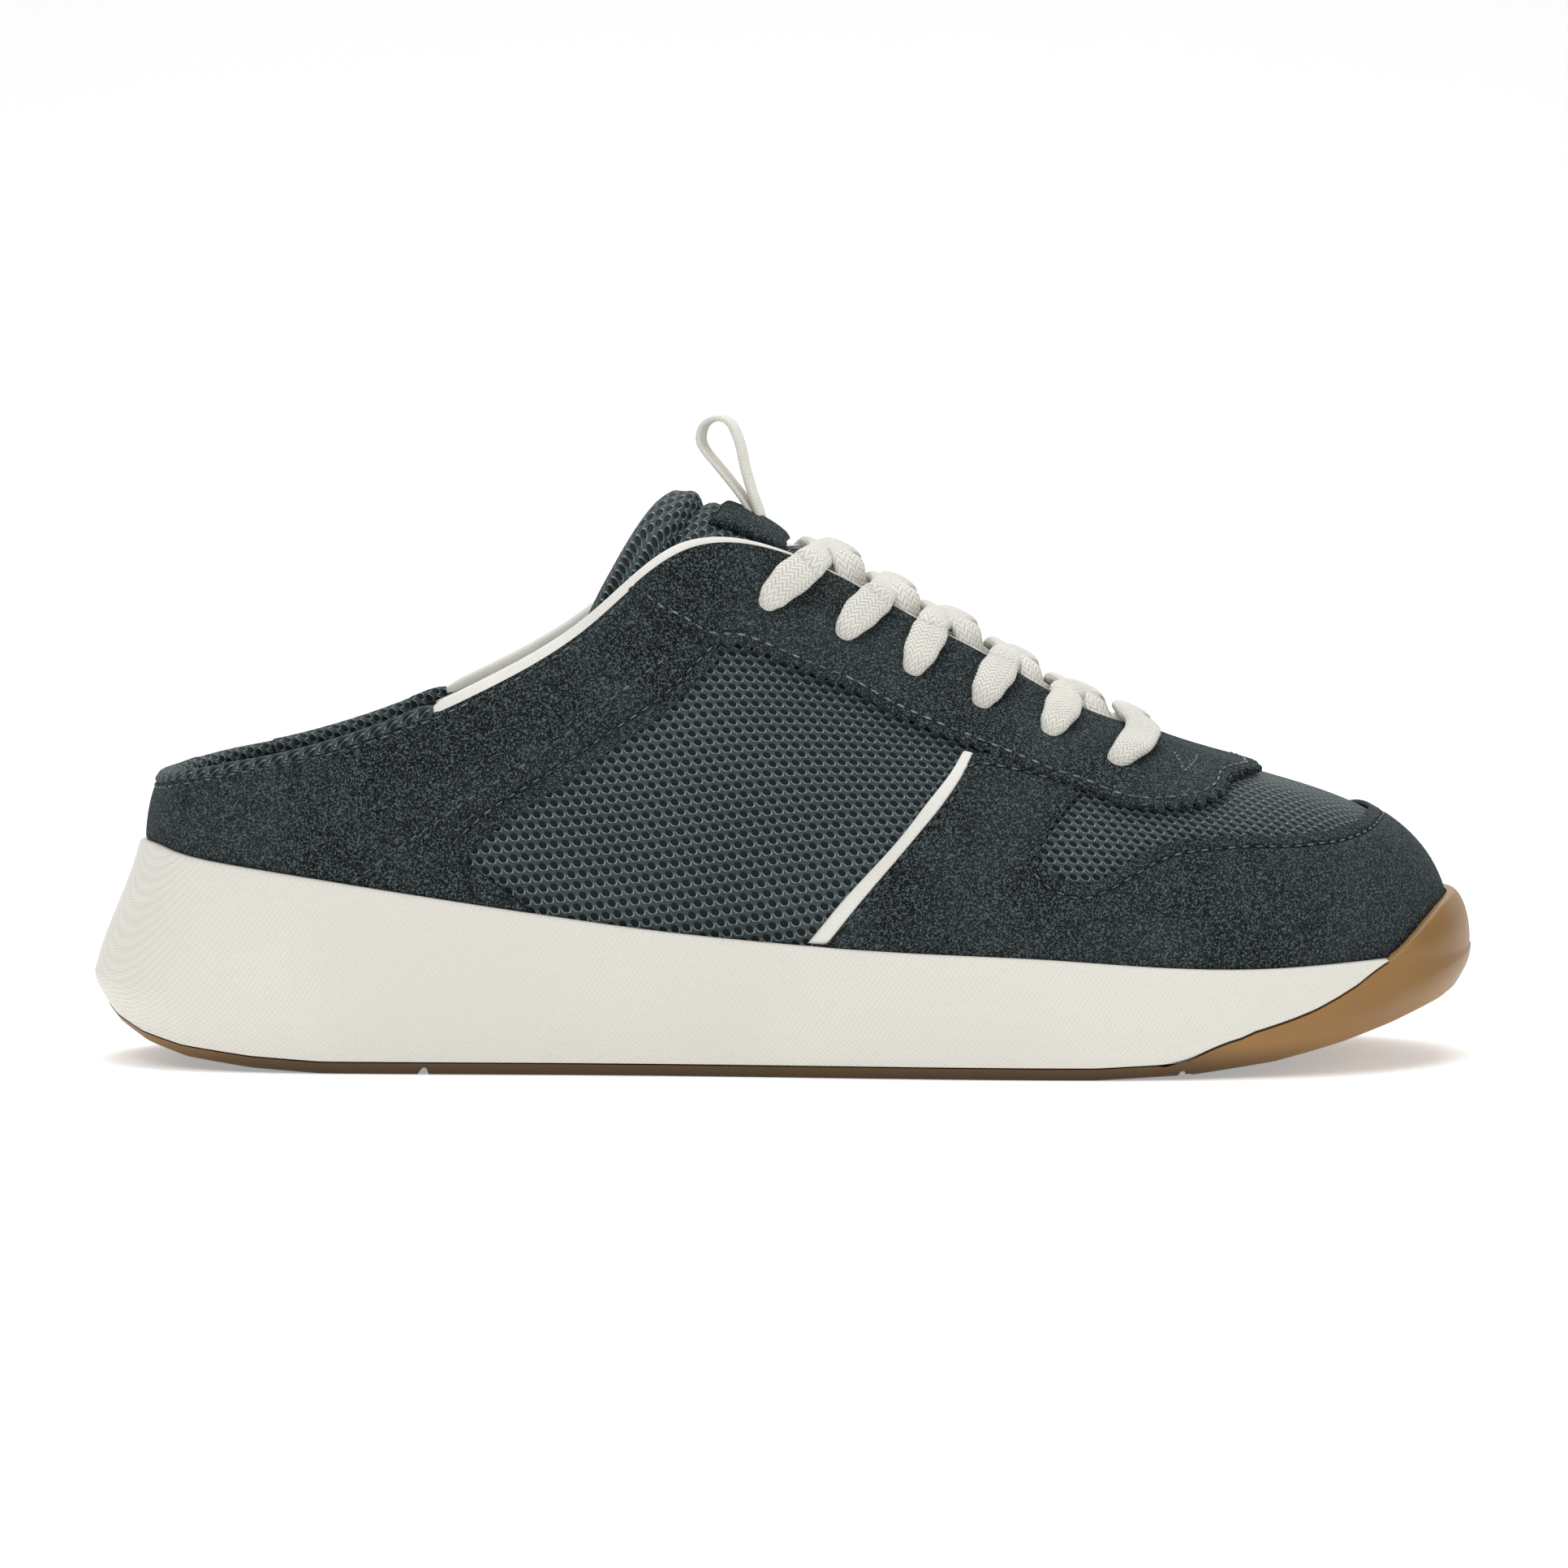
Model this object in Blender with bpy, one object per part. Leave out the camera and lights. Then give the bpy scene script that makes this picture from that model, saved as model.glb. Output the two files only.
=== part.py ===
"""Backless sneaker for the right foot: foam midsole, gum outsole, mesh upper with suede overlays.

The toe points along +X, the outer (lateral) side of the foot is -Y and +Z is up. The
origin is on the ground, under the middle of the shoe. Every ring runs from the heel
along the lateral side to the toe and back along the medial side.
"""

import math

import bmesh
import bpy
import numpy as np

# Driving sizes, in metres.
LENGTH = 0.300
BALL_WIDTH = 0.108
HEEL_RIM_HEIGHT = 0.0475
COLLAR_HEIGHT = 0.1123
WALL = 0.0020
CLEARANCE = 0.0003
OVERLAY_THICKNESS = 0.0011
OUTSOLE_THICKNESS = 0.0024
BUMPER_THICKNESS = 0.0022
BUMPER_LIP_THICKNESS = 0.0011
INSOLE_THICKNESS = 0.0050
CUP_TUCK = 0.0022
GROOVE_WIDTH = 0.0013
GROOVE_DEPTH = 0.0014
PIPING_HEIGHT = 0.0021
THROAT_PIPING_HEIGHT = 0.0009
PAD_THICKNESS = 0.0040
LACE_WIDTH = 0.0072
LACE_THICKNESS = 0.0022
TONGUE_THICKNESS = 0.0036
TONGUE_ROLL_THICKNESS = 0.0088
TONGUE_DROP = 0.0052
LOOP_HEIGHT = 0.0222
LOOP_WIDTH = 0.0072
LOOP_THICKNESS = 0.0013
HALF_WIDTH = BALL_WIDTH / 2

# Columns round the shoe, and the rows of the upper's wall between the rim and the edge.
COLUMNS = 60
ROWS = (0.0, 0.09, 0.19, 0.30, 0.42, 0.54, 0.66, 0.78, 0.89, 1.0)
SIDE_ROWS = (0.0, 0.12, 0.35, 0.60, 0.85, 1.0)

# Sole stations from heel to toe: place along the length, half widths on the two sides
# (shares of half the ball width), rim height and its inset from the widest outline,
# height of the widest ring, height and inset of the bottom edge (heights are shares of
# the heel's rim height, insets of half the ball width), and the rim's lip.
SOLE = {
    "along": (0, .021, .064, .130, .215, .310, .403, .497, .590, .680, .762, .838, .904, .957, .989, 1.0),
    "lateral": (0, .375, .595, .705, .755, .780, .818, .880, .948, .995, .990, .915, .765, .520, .225, -.140),
    "medial": (0, .375, .585, .685, .715, .680, .650, .670, .765, .885, .970, .995, .925, .765, .505, .140),
    "rim_height": (1.0, .998, .958, .900, .820, .730, .650, .595, .560, .538, .503, .487, .500, .510, .518, .526),
    "rim_inset": (.185, .165, .120, .100, .090, .080, .070, .060, .050, .045, .040, .035, .030, .015, .006, .005),
    "wide_height": (.400, .380, .330, .280, .240, .210, .190, .175, .165, .160, .165, .200, .290, .400, .480, .520),
    "edge_inset": (.055, .050, .035, .022, .018, .016, .015, .015, .015, .015, .018, .025, .035, .045, .050, .055),
    "lip": (.050, .048, .045, .044, .044, .044, .044, .044, .044, .044, .046, .052, .066, .085, .098, .102),
}

# Top edge of the upper from heel to the throat's front, and the shape of each column
# between the rim and that edge: lean at the rim and slope at the edge in degrees, and
# the two handles' lengths as shares of the column's span.
TOP = {
    "along": (.051, .059, .088, .138, .210, .285, .362, .432, .512, .582, .645, .696, .735, .758, .770, .774),
    "lateral": (0, .300, .500, .605, .640, .645, .625, .560, .420, .350, .310, .270, .225, .165, .080, -.020),
    "medial": (0, .300, .500, .605, .640, .645, .625, .560, .430, .370, .335, .300, .260, .200, .115, .020),
    "height": (.536, .538, .558, .583, .640, .728, .852, .992, .962, .862, .770, .690, .645, .624, .607, .599),
    "lean": (2, 3, 4, 5, 7, 8, 8, 7, 6, 5, 5, 4, 3, 2, 1, 1),
    "slope": (62, 62, 66, 72, 76, 78, 76, 68, 58, 50, 43, 35, 28, 24, 22, 21),
    "rim_handle": (.30, .30, .32, .33, .33, .33, .34, .36, .38, .40, .42, .44, .46, .46, .46, .46),
    "edge_handle": (.25, .25, .28, .30, .30, .30, .30, .30, .30, .30, .31, .32, .32, .32, .32, .32),
}

# The ground line under the sole: rise of the underside along the shoe, as a share of
# the heel's rim height. It is flat from the heel's contact to the ball's.
UNDERSIDE = {
    "along": (0, .020, .040, .070, .120, .170, .250, .500, .720, .790, .850, .900, .940, .975, 1.0),
    "rise": (.250, .165, .110, .060, .020, 0, 0, 0, 0, .022, .070, .135, .200, .265, .325),
}

# Floor of the cup that the foot bed lies in, as shares of the heel's rim height.
CUP_FLOOR = {
    "along": (0, .100, .215, .310, .403, .500, .600, .700, .800, .880, .940, .980, 1.0),
    "height": (.640, .640, .580, .510, .450, .400, .360, .330, .310, .325, .360, .395, .405),
}

# Borders of the upper's layers on the lateral side; the medial side mirrors them. Each
# row is a place round the shoe (0 heel, 0.5 toe) and a climb (0 rim, 1 top edge).
EYESTAY_EDGE = (
    (.2000, 1.0), (.2167, .930), (.2262, .802), (.2326, .734), (.2500, .676), (.2682, .624), (.2895, .557),
    (.3083, .522), (.3317, .474), (.3506, .444), (.3640, .469), (.3785, .505), (.3913, .553), (.4112, .643),
    (.4500, .705), (.5000, .740),
)
MUDGUARD_EDGE = (
    (.2440, 0), (.2598, .135), (.2824, .335), (.3000, .490), (.3080, .470), (.3125, .320), (.3160, .190), (.3283, .235), (.3413, .300),
    (.3542, .342), (.3726, .363), (.3945, .358), (.4146, .360), (.4355, .382), (.4700, .420), (.5000, .430),
)
QUARTER_EDGE = ((.1500, 0), (.1573, .290), (.1671, .411), (.1826, .513), (.1985, .584), (.2145, .619), (.2333, .700))
QUARTER_TOP = ((.1833, 1.0), (.2000, .975), (.2167, .900), (.2262, .775), (.2333, .700))

# The stripe: places of its rear and front borders at each climb.
STRIPE = {
    "climb": (.006, .111, .249, .347, .440, .520),
    "rear": (.2395, .2497, .2658, .2764, .2868, .2953),
    "front": (.2444, .2546, .2698, .2809, .2906, .2985),
}

# Top of the toe bumper: place, and climb up the sole's side (to 1), then up the upper.
BUMPER_TOP = (
    (.3450, 0), (.3590, .180), (.3697, .280), (.3815, .320), (.3937, .400), (.4166, 1.0), (.4333, 1.028),
    (.4481, 1.058), (.4700, 1.100), (.5000, 1.130),
)

# Eyelets, and the places where the strands cross the throat's edge.
EYELETS = ((.2525, .848), (.2736, .816), (.2934, .779), (.3148, .748), (.3375, .725), (.3600, .671))
STRAND_PLACES = (.2695, .2920, .3110, .3385, .3680, .4180)

# The tongue: places of its sections under the throat with the arch's rise over its own
# borders, then free sections above the throat. Lengths are shares of the shoe's length
# from the heel, heights of the collar's height, half widths of half the ball width.
TONGUE_THROAT = {
    "place": (.500, .470, .440, .410, .380, .350, .320, .290, .265),
    "rise": (0, .0004, .0008, .0012, .0015, .0018, .0020, .0022, .0024),
    "drop": (.50, .50, .54, .68, .84, 1.0, 1.0, 1.0, 1.0),
}
TONGUE_TOP = {
    "centre_along": (.4980, .4700, .4450, .4270),
    "centre_height": (1.006, 1.054, 1.083, 1.098),
    "side_along": (.4780, .4400, .4050, .3800),
    "side_height": (.850, .845, .840, .835),
    "side_width": (.480, .480, .480, .480),
    "thickness": (.50, .60, .90, 1.0),
}

# The pull loop's outline in the middle plane: shares of its height, forwards and up.
LOOP_OUTLINE = (
    (.05, .00), (-.05, .02), (-.20, .24), (-.39, .49), (-.53, .68), (-.575, .80), (-.53, .94), (-.40, 1.0),
    (-.27, .95), (-.180, .76), (-.12, .50), (-.05, .28), (.03, .10),
)

# Grooves across the outsole, as shares of the shoe's length from the heel.
GROOVES = (.245, .781)
PADS = (.1167, .2167)

MATERIALS = {
    "suede": ((0.036, 0.050, 0.054, 1), 0.95, 0.0),
    "mesh": ((0.060, 0.082, 0.086, 1), 0.80, 0.0),
    "foam": ((0.780, 0.755, 0.690, 1), 0.60, 0.0),
    "gum": ((0.330, 0.180, 0.070, 1), 0.50, 0.0),
    "cotton": ((0.760, 0.745, 0.680, 1), 0.90, 0.0),
    "lining": ((0.700, 0.680, 0.610, 1), 0.90, 0.0),
}


def clear_scene():
    """Removes what the startup file holds."""
    for obj in list(bpy.data.objects):
        bpy.data.objects.remove(obj, do_unlink=True)


def material(name):
    """A Principled material with the part's colour, roughness and metallic value."""
    made = bpy.data.materials.get(name)
    if made is None:
        colour, roughness, metallic = MATERIALS[name]
        made = bpy.data.materials.new(name)
        made.use_nodes = True
        shader = made.node_tree.nodes["Principled BSDF"]
        shader.inputs["Base Color"].default_value = colour
        shader.inputs["Roughness"].default_value = roughness
        shader.inputs["Metallic"].default_value = metallic
    return made


class Ring:
    """A smooth closed curve of numbers through the stations of both sides."""

    def __init__(self, lateral, medial=None):
        medial = lateral if medial is None else medial
        knots = np.array(list(lateral) + list(medial)[-2:0:-1], float)
        count = len(knots)
        system = np.eye(count) * 4
        for i in range(count):
            system[i, (i + 1) % count] += 1
            system[i, (i - 1) % count] += 1
        self.weights = np.linalg.solve(system / 6, knots)
        self.count = count

    def __call__(self, place):
        at = (place % 1.0) * self.count
        first = int(math.floor(at))
        f = at - first
        blend = ((1 - f) ** 3 / 6, (3 * f**3 - 6 * f**2 + 4) / 6, (-3 * f**3 + 3 * f**2 + 3 * f + 1) / 6, f**3 / 6)
        return sum(b * self.weights[(first + k - 1) % self.count] for k, b in enumerate(blend))


def rings_of(table):
    """One Ring for each column of a station table, and one for the signed half width."""
    rings = {name: Ring(values) for name, values in table.items() if name not in ("lateral", "medial")}
    rings["side"] = Ring([-v for v in table["lateral"]], table["medial"])
    return rings


SOLE_RINGS = rings_of(SOLE)
TOP_RINGS = rings_of(TOP)


def mirrored(place):
    """The same place counted on the lateral side."""
    place %= 1.0
    return min(place, 1.0 - place)


def border(line, place):
    """Climb of a layer's border at a place on either side."""
    return float(np.interp(mirrored(place), [p[0] for p in line], [p[1] for p in line]))


def unit(vector):
    return vector / np.linalg.norm(vector)


def underside(x):
    """Height of the sole's underside at x."""
    return HEEL_RIM_HEIGHT * float(np.interp(x / LENGTH + 0.5, UNDERSIDE["along"], UNDERSIDE["rise"]))


def cup_floor(x):
    """Height of the floor that the foot bed lies on."""
    return HEEL_RIM_HEIGHT * float(np.interp(x / LENGTH + 0.5, CUP_FLOOR["along"], CUP_FLOOR["height"]))


def outline(place):
    """A point of the sole's widest outline in plan, and the direction inwards."""
    def at(p):
        return np.array([LENGTH * (SOLE_RINGS["along"](p) - 0.5), HALF_WIDTH * SOLE_RINGS["side"](p)])

    tangent = unit(at(place + 1e-3) - at(place - 1e-3))
    return at(place), np.array([-tangent[1], tangent[0]])


def sole_side(place, climb, extra=0.0):
    """A point of the sole's side, moved inwards by extra: climb 0 is its bottom edge, 1 the rim."""
    wide, inwards = outline(place)
    edge = wide + inwards * HALF_WIDTH * SOLE_RINGS["edge_inset"](place)
    rim = wide + inwards * HALF_WIDTH * SOLE_RINGS["rim_inset"](place)
    edge_height = underside(edge[0]) + OUTSOLE_THICKNESS + CLEARANCE
    wide_height = HEEL_RIM_HEIGHT * SOLE_RINGS["wide_height"](place)
    rim_height = HEEL_RIM_HEIGHT * SOLE_RINGS["rim_height"](place)
    split = SIDE_ROWS[2]
    if climb <= split:
        f = climb / split
        flat = edge + (wide - edge) * math.sin(f * math.pi / 2)
        height = edge_height + (wide_height - edge_height) * f
    else:
        f = (climb - split) / (1 - split)
        flat = wide + (rim - wide) * (f * f * (3 - 2 * f) * 0.4 + f * 0.6)
        height = wide_height + (rim_height - wide_height) * f
    return np.array([*(flat + inwards * extra), height])


class Upper:
    """The upper's outer surface over place and climb.

    Climb -1 is the cup's floor, 0 the rim and 1 the top edge; past 1 it counts metres.
    """

    def __init__(self):
        self.columns = {}

    def column(self, place):
        """The four control points of a column and the direction inwards at its foot."""
        key = round(place % 1.0, 6)
        if key in self.columns:
            return self.columns[key]
        lip = HALF_WIDTH * SOLE_RINGS["lip"](key)
        foot = sole_side(key, 1.0, lip)
        inwards = outline(key)[1]
        top = np.array([
            LENGTH * (TOP_RINGS["along"](key) - 0.5),
            HALF_WIDTH * TOP_RINGS["side"](key),
            COLLAR_HEIGHT * TOP_RINGS["height"](key),
        ])
        span = np.linalg.norm(top - foot)
        lean = math.radians(TOP_RINGS["lean"](key))
        slope = math.radians(TOP_RINGS["slope"](key))
        spread = foot[:2] - top[:2]
        reach = np.linalg.norm(spread)
        away = unit(-inwards if reach < 0.004 else spread / reach - 0.5 * inwards)
        rise = np.array([*(-inwards * math.sin(lean)), math.cos(lean)])
        fall = np.array([*(away * math.cos(slope)), -math.sin(slope)])
        points = (
            foot,
            foot + rise * span * TOP_RINGS["rim_handle"](key),
            top + fall * span * TOP_RINGS["edge_handle"](key),
            top,
        )
        self.columns[key] = (points, inwards)
        return self.columns[key]

    def bare(self, place, climb):
        (a, b, c, d), inwards = self.column(place)
        if climb < 0:
            sunk = -climb * (a[2] - cup_floor(a[0]) - CLEARANCE)
            return a + np.array([*(inwards * CUP_TUCK * -climb), -sunk])
        if climb > 1:
            return d + unit(d - c) * (climb - 1)
        t, s = climb, 1 - climb
        return s**3 * a + 3 * s * s * t * b + 3 * s * t * t * c + t**3 * d

    def normal(self, place, climb):
        """The outward unit normal."""
        step = 2e-3
        low, high = climb - step, climb + step
        if 1 - step < climb <= 1:
            high = climb
        if climb < 0 < high:
            high = 0.0
        elif climb <= step and climb >= 0:
            low = climb
        up = self.bare(place, high) - self.bare(place, low)
        round_ = self.bare(place + step, climb) - self.bare(place - step, climb)
        return unit(np.cross(round_, up))

    def point(self, place, climb, offset=0.0):
        """A point of the surface moved outwards by offset."""
        return self.bare(place, climb) + offset * self.normal(place, climb)

    def foot(self, place):
        """The climb that stands just clear of the rim."""
        (a, b, _, _), _ = self.column(place)
        return 1.3 * CLEARANCE / (3 * (b[2] - a[2]))


UPPER = Upper()


def add_mesh(name, finish, points, faces, smooth_angle=40):
    """A named object from points and faces, doubles merged and faces turned outwards."""
    work = bmesh.new()
    made = [work.verts.new(p) for p in points]
    for face in faces:
        try:
            work.faces.new([made[i] for i in face])
        except ValueError:
            continue
    bmesh.ops.remove_doubles(work, verts=work.verts, dist=2e-6)
    bmesh.ops.dissolve_degenerate(work, edges=work.edges, dist=1e-7)
    bmesh.ops.recalc_face_normals(work, faces=work.faces)
    low = [min(v.co[i] for v in work.verts) for i in range(3)]
    high = [max(v.co[i] for v in work.verts) for i in range(3)]
    origin = [(a + b) / 2 for a, b in zip(low, high)]
    bmesh.ops.translate(work, verts=work.verts, vec=[-v for v in origin])
    mesh = bpy.data.meshes.new(name)
    work.to_mesh(mesh)
    work.free()
    mesh.shade_smooth()
    mesh.set_sharp_from_angle(angle=math.radians(smooth_angle))
    if finish:
        mesh.materials.append(material(finish))
    obj = bpy.data.objects.new(name, mesh)
    bpy.context.scene.collection.objects.link(obj)
    obj.location = origin
    obj.parent = bpy.data.objects.get("shoe")
    return obj


def places_between(first, last):
    """The shared columns from first to last, both included."""
    start, stop = round(first * COLUMNS), round(last * COLUMNS)
    return [i / COLUMNS for i in range(start, stop + 1)]


def grid_faces(rows, closed=True):
    """Triangles between neighbouring rows of points, cut along the same diagonal on both faces of a wall."""
    count = len(rows[0])
    faces = []
    for r in range(len(rows) - 1):
        for c in range(count if closed else count - 1):
            d = (c + 1) % count
            low, high = (r, r + 1) if rows[r][c][2] <= rows[r + 1][c][2] else (r + 1, r)
            faces.append((low * count + c, low * count + d, high * count + d))
            faces.append((low * count + c, high * count + d, high * count + c))
    return faces


def rung_faces(start, count):
    """Closes a ring with rungs from its lateral side to its medial side."""
    half = count // 2
    faces = [(start, start + 1, start + count - 1)]
    for i in range(1, half - 1):
        faces.append((start + i, start + i + 1, start + count - i - 1))
        faces.append((start + i, start + count - i - 1, start + count - i))
    faces.append((start + half - 1, start + half, start + half + 1))
    return faces


def stacked(name, finish, rows, joined=False):
    """A solid from rings: capped at both ends, or with the last ring joined to the first."""
    count = len(rows[0])
    points = [p for row in rows for p in row]
    faces = grid_faces(rows)
    last = (len(rows) - 1) * count
    if joined:
        faces += [(last + c, last + (c + 1) % count, (c + 1) % count, c) for c in range(count)]
    else:
        faces += rung_faces(0, count) + rung_faces(last, count)
    return add_mesh(name, finish, points, faces)


def plate(name, finish, outer, inner):
    """A thin solid between two open grids of the same size."""
    rows, count = len(outer), len(outer[0])
    points = [p for row in outer + inner for p in row]
    base = rows * count
    faces = grid_faces(outer, closed=False)
    faces += [tuple(base + i for i in reversed(f)) for f in faces]
    rim = [(0, c) for c in range(count)] + [(r, count - 1) for r in range(1, rows)]
    rim += [(rows - 1, c) for c in range(count - 2, -1, -1)] + [(r, 0) for r in range(rows - 2, 0, -1)]
    loop = [r * count + c for r, c in rim]
    faces += [(j, i, base + i, base + j) for i, j in zip(loop, loop[1:] + loop[:1])]
    return add_mesh(name, finish, points, faces)


def sweep(name, finish, sections, joined=False):
    """A solid from closed cross-sections along a path."""
    count = len(sections[0])
    points = [p for section in sections for p in section]
    faces = grid_faces(sections)
    last = (len(sections) - 1) * count
    if joined:
        faces += [(last + c, last + (c + 1) % count, (c + 1) % count, c) for c in range(count)]
    else:
        faces += [tuple(range(count)), tuple(last + c for c in reversed(range(count)))]
    return add_mesh(name, finish, points, faces)


def bumper(place):
    """How high the toe bumper climbs, and how far the foam behind it steps in."""
    top = border(BUMPER_TOP, place)
    return top, BUMPER_THICKNESS * min(top / 0.18, 1.0)


def build_midsole():
    """The foam midsole, with a cup for the foot and a step behind the toe bumper."""
    places = places_between(0, 1)[:-1]
    rows = [[] for _ in range(2 * len(SIDE_ROWS) + 3)]
    for place in places:
        top, step = bumper(place)
        step += CLEARANCE if top > 0 else 0
        split = min(top, 1.0)
        outer_step = step if split >= 1 else 0
        line = [sole_side(place, min(c, split), step) for c in SIDE_ROWS]
        line += [sole_side(place, max(c, split), outer_step) for c in SIDE_ROWS]
        line += [UPPER.point(place, c, CLEARANCE) for c in (0.0, -1.0)]
        floor = line[-1].copy()
        floor[2] -= CLEARANCE
        line[-1] = floor
        line.insert(-1, UPPER.point(place, -0.5, CLEARANCE))
        for row, p in zip(rows, line):
            row.append(p)
    return stacked("midsole", "foam", rows)


def build_outsole():
    """The gum outsole, thin under the foam and climbing over the toe as a bumper."""
    places = places_between(0, 1)[:-1]
    rows = [[] for _ in range(2 * len(SIDE_ROWS) + 9)]
    for place in places:
        top, step = bumper(place)
        split = min(top, 1.0)
        lower = np.array([0, 0, CLEARANCE * (2 if 0 < top < 1 else 1)])
        edge = sole_side(place, 0.0, 0.0)
        ground = sole_side(place, 0.0, 0.0009)
        ground[2] = underside(ground[0])
        low = edge.copy()
        low[2] = underside(edge[0]) + 0.4 * OUTSOLE_THICKNESS
        outer = [sole_side(place, min(c, split)) - lower for c in SIDE_ROWS]
        inner = [sole_side(place, min(c, split), step) - lower for c in SIDE_ROWS]
        lip = HALF_WIDTH * SOLE_RINGS["lip"](place)
        clear = OVERLAY_THICKNESS + 2 * CLEARANCE
        if top > 1.005:
            reach = min(max((top - 1.03) / 0.04, 0.0), 1.0)
            inside = clear + (lip - BUMPER_THICKNESS - clear) * (1 - reach)
            crest = inside + BUMPER_LIP_THICKNESS
            over = []
            for f in (0.4, 0.75, 1.0):
                bulge = crest + (lip - crest) * math.sqrt(1 - f * f)
                over.append(UPPER.point(place, (top - 1) * f, bulge))
            foot = UPPER.foot(place)
            under = [UPPER.point(place, c, inside) for c in (top - 1, (top - 1 + foot) / 2, foot)]
            ledge = inner[-1].copy()
            ledge[2] = under[-1][2]
            under.append(ledge)
        else:
            over, under = [outer[-1]] * 3, [inner[-1]] * 4
        for row, p in zip(rows, [ground, low] + outer + over + under + inner[::-1]):
            row.append(p)
    sole = stacked("outsole", "gum", rows)
    for i, share in enumerate(GROOVES):
        cutter = add_box("groove_cutter_%d" % (i + 1), (LENGTH * (share - 0.5), 0, 0), (
            GROOVE_WIDTH, BALL_WIDTH * 1.2, 2 * GROOVE_DEPTH))
        cut = sole.modifiers.new("groove_%d" % (i + 1), "BOOLEAN")
        cut.operation = "DIFFERENCE"
        cut.solver = "EXACT"
        cut.object = cutter
    return sole


def add_box(name, centre, size):
    """A box that only cuts: it isn't rendered."""
    half = [v / 2 for v in size]
    corners = [(x, y, z) for x in (-half[0], half[0]) for y in (-half[1], half[1]) for z in (-half[2], half[2])]
    faces = ((0, 1, 3, 2), (4, 6, 7, 5), (0, 4, 5, 1), (2, 3, 7, 6), (0, 2, 6, 4), (1, 5, 7, 3))
    points = [[a + b for a, b in zip(corner, centre)] for corner in corners]
    box = add_mesh(name, None, points, faces)
    box.hide_render = True
    box.display_type = "WIRE"
    return box


def build_upper():
    """The mesh upper: one wall, open at the collar, the throat and underneath."""
    places = places_between(0, 1)[:-1]
    climbs = (-1.0, -0.5) + ROWS
    outer = [[UPPER.point(p, c) for p in places] for c in climbs]
    inner = [[UPPER.point(p, c, -WALL) for p in places] for c in reversed(climbs)]
    return stacked("upper", "mesh", outer + inner, joined=True)


def build_insole():
    """The foot bed that lies in the cup."""
    places = places_between(0, 1)[:-1]
    rows = [[] for _ in range(3)]
    for place in places:
        foot = UPPER.bare(place, 0.0)
        depth = foot[2] - cup_floor(foot[0]) - CLEARANCE
        top = min(-1 + INSOLE_THICKNESS / depth, -0.12)
        gap = -WALL - CLEARANCE
        crown = UPPER.point(place, top, gap - 0.0012)
        for row, p in zip(rows, (
            UPPER.point(place, -1.0, gap),
            UPPER.point(place, -1 + 0.75 * (top + 1), gap),
            crown,
        )):
            row.append(p)
    return stacked("insole", "lining", rows)


def layer(name, finish, places, low, high, base=CLEARANCE, thickness=OVERLAY_THICKNESS):
    """A suede layer on the upper between two climbs that depend on the place."""
    bounds = [(low(p), high(p)) for p in places]
    lowest, highest = min(b[0] for b in bounds), max(b[1] for b in bounds)
    climbs = [lowest] + [c for c in ROWS if lowest < c < highest] + [highest]
    outer, inner = [], []
    for climb in climbs:
        line = [(p, min(max(climb, a), b)) for p, (a, b) in zip(places, bounds)]
        outer.append([UPPER.point(p, c, base + thickness) for p, c in line])
        inner.append([UPPER.point(p, c, base) for p, c in line])
    return plate(name, finish, outer, inner)


def build_layers():
    """The suede on the heel, the toe and round the throat, and the stripes."""
    layer("heel_quarter", "suede", places_between(-.2333, .2333),
          lambda p: UPPER.foot(p) if mirrored(p) <= .1501 else border(QUARTER_EDGE, p),
          lambda p: border(QUARTER_TOP, p))
    necks = [p for a in (.3040, .3080, .3125) for p in (a, 1 - a)]
    layer("toe_mudguard", "suede", sorted(places_between(.25, .75) + necks), UPPER.foot,
          lambda p: max(border(MUDGUARD_EDGE, p), 2 * UPPER.foot(p)), 2 * CLEARANCE,
          OVERLAY_THICKNESS - CLEARANCE)
    layer("eyestay", "suede", places_between(.20, .80), lambda p: border(EYESTAY_EDGE, p), lambda p: 1.0)
    for name, turn in (("stripe_lateral", lambda p: p), ("stripe_medial", lambda p: 1 - p)):
        outer, inner = [], []
        for climb, rear, front in zip(STRIPE["climb"], STRIPE["rear"], STRIPE["front"]):
            across = [turn(rear), turn((rear + front) / 2), turn(front)]
            outer.append([UPPER.point(p, climb, 1.5 * CLEARANCE + OVERLAY_THICKNESS) for p in across])
            inner.append([UPPER.point(p, climb, 1.5 * CLEARANCE) for p in across])
        plate(name, "cotton", outer, inner)


def build_collar_binding():
    """The piping on the top edge, thick round the collar and thin along the throat."""
    sections = []
    for place in places_between(.15, .85):
        blend = min(max((mirrored(place) - .23) / .04, 0.0), 1.0)
        height = PIPING_HEIGHT + (THROAT_PIPING_HEIGHT - PIPING_HEIGHT) * blend
        low, high = 1 + CLEARANCE, 1 + CLEARANCE + height
        out = CLEARANCE + OVERLAY_THICKNESS
        sections.append([
            UPPER.point(place, low, -WALL),
            UPPER.point(place, low, out),
            UPPER.point(place, high, 0.6 * out),
            UPPER.point(place, high, -0.7 * WALL),
        ])
    return sweep("collar_binding", "cotton", sections)


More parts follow.
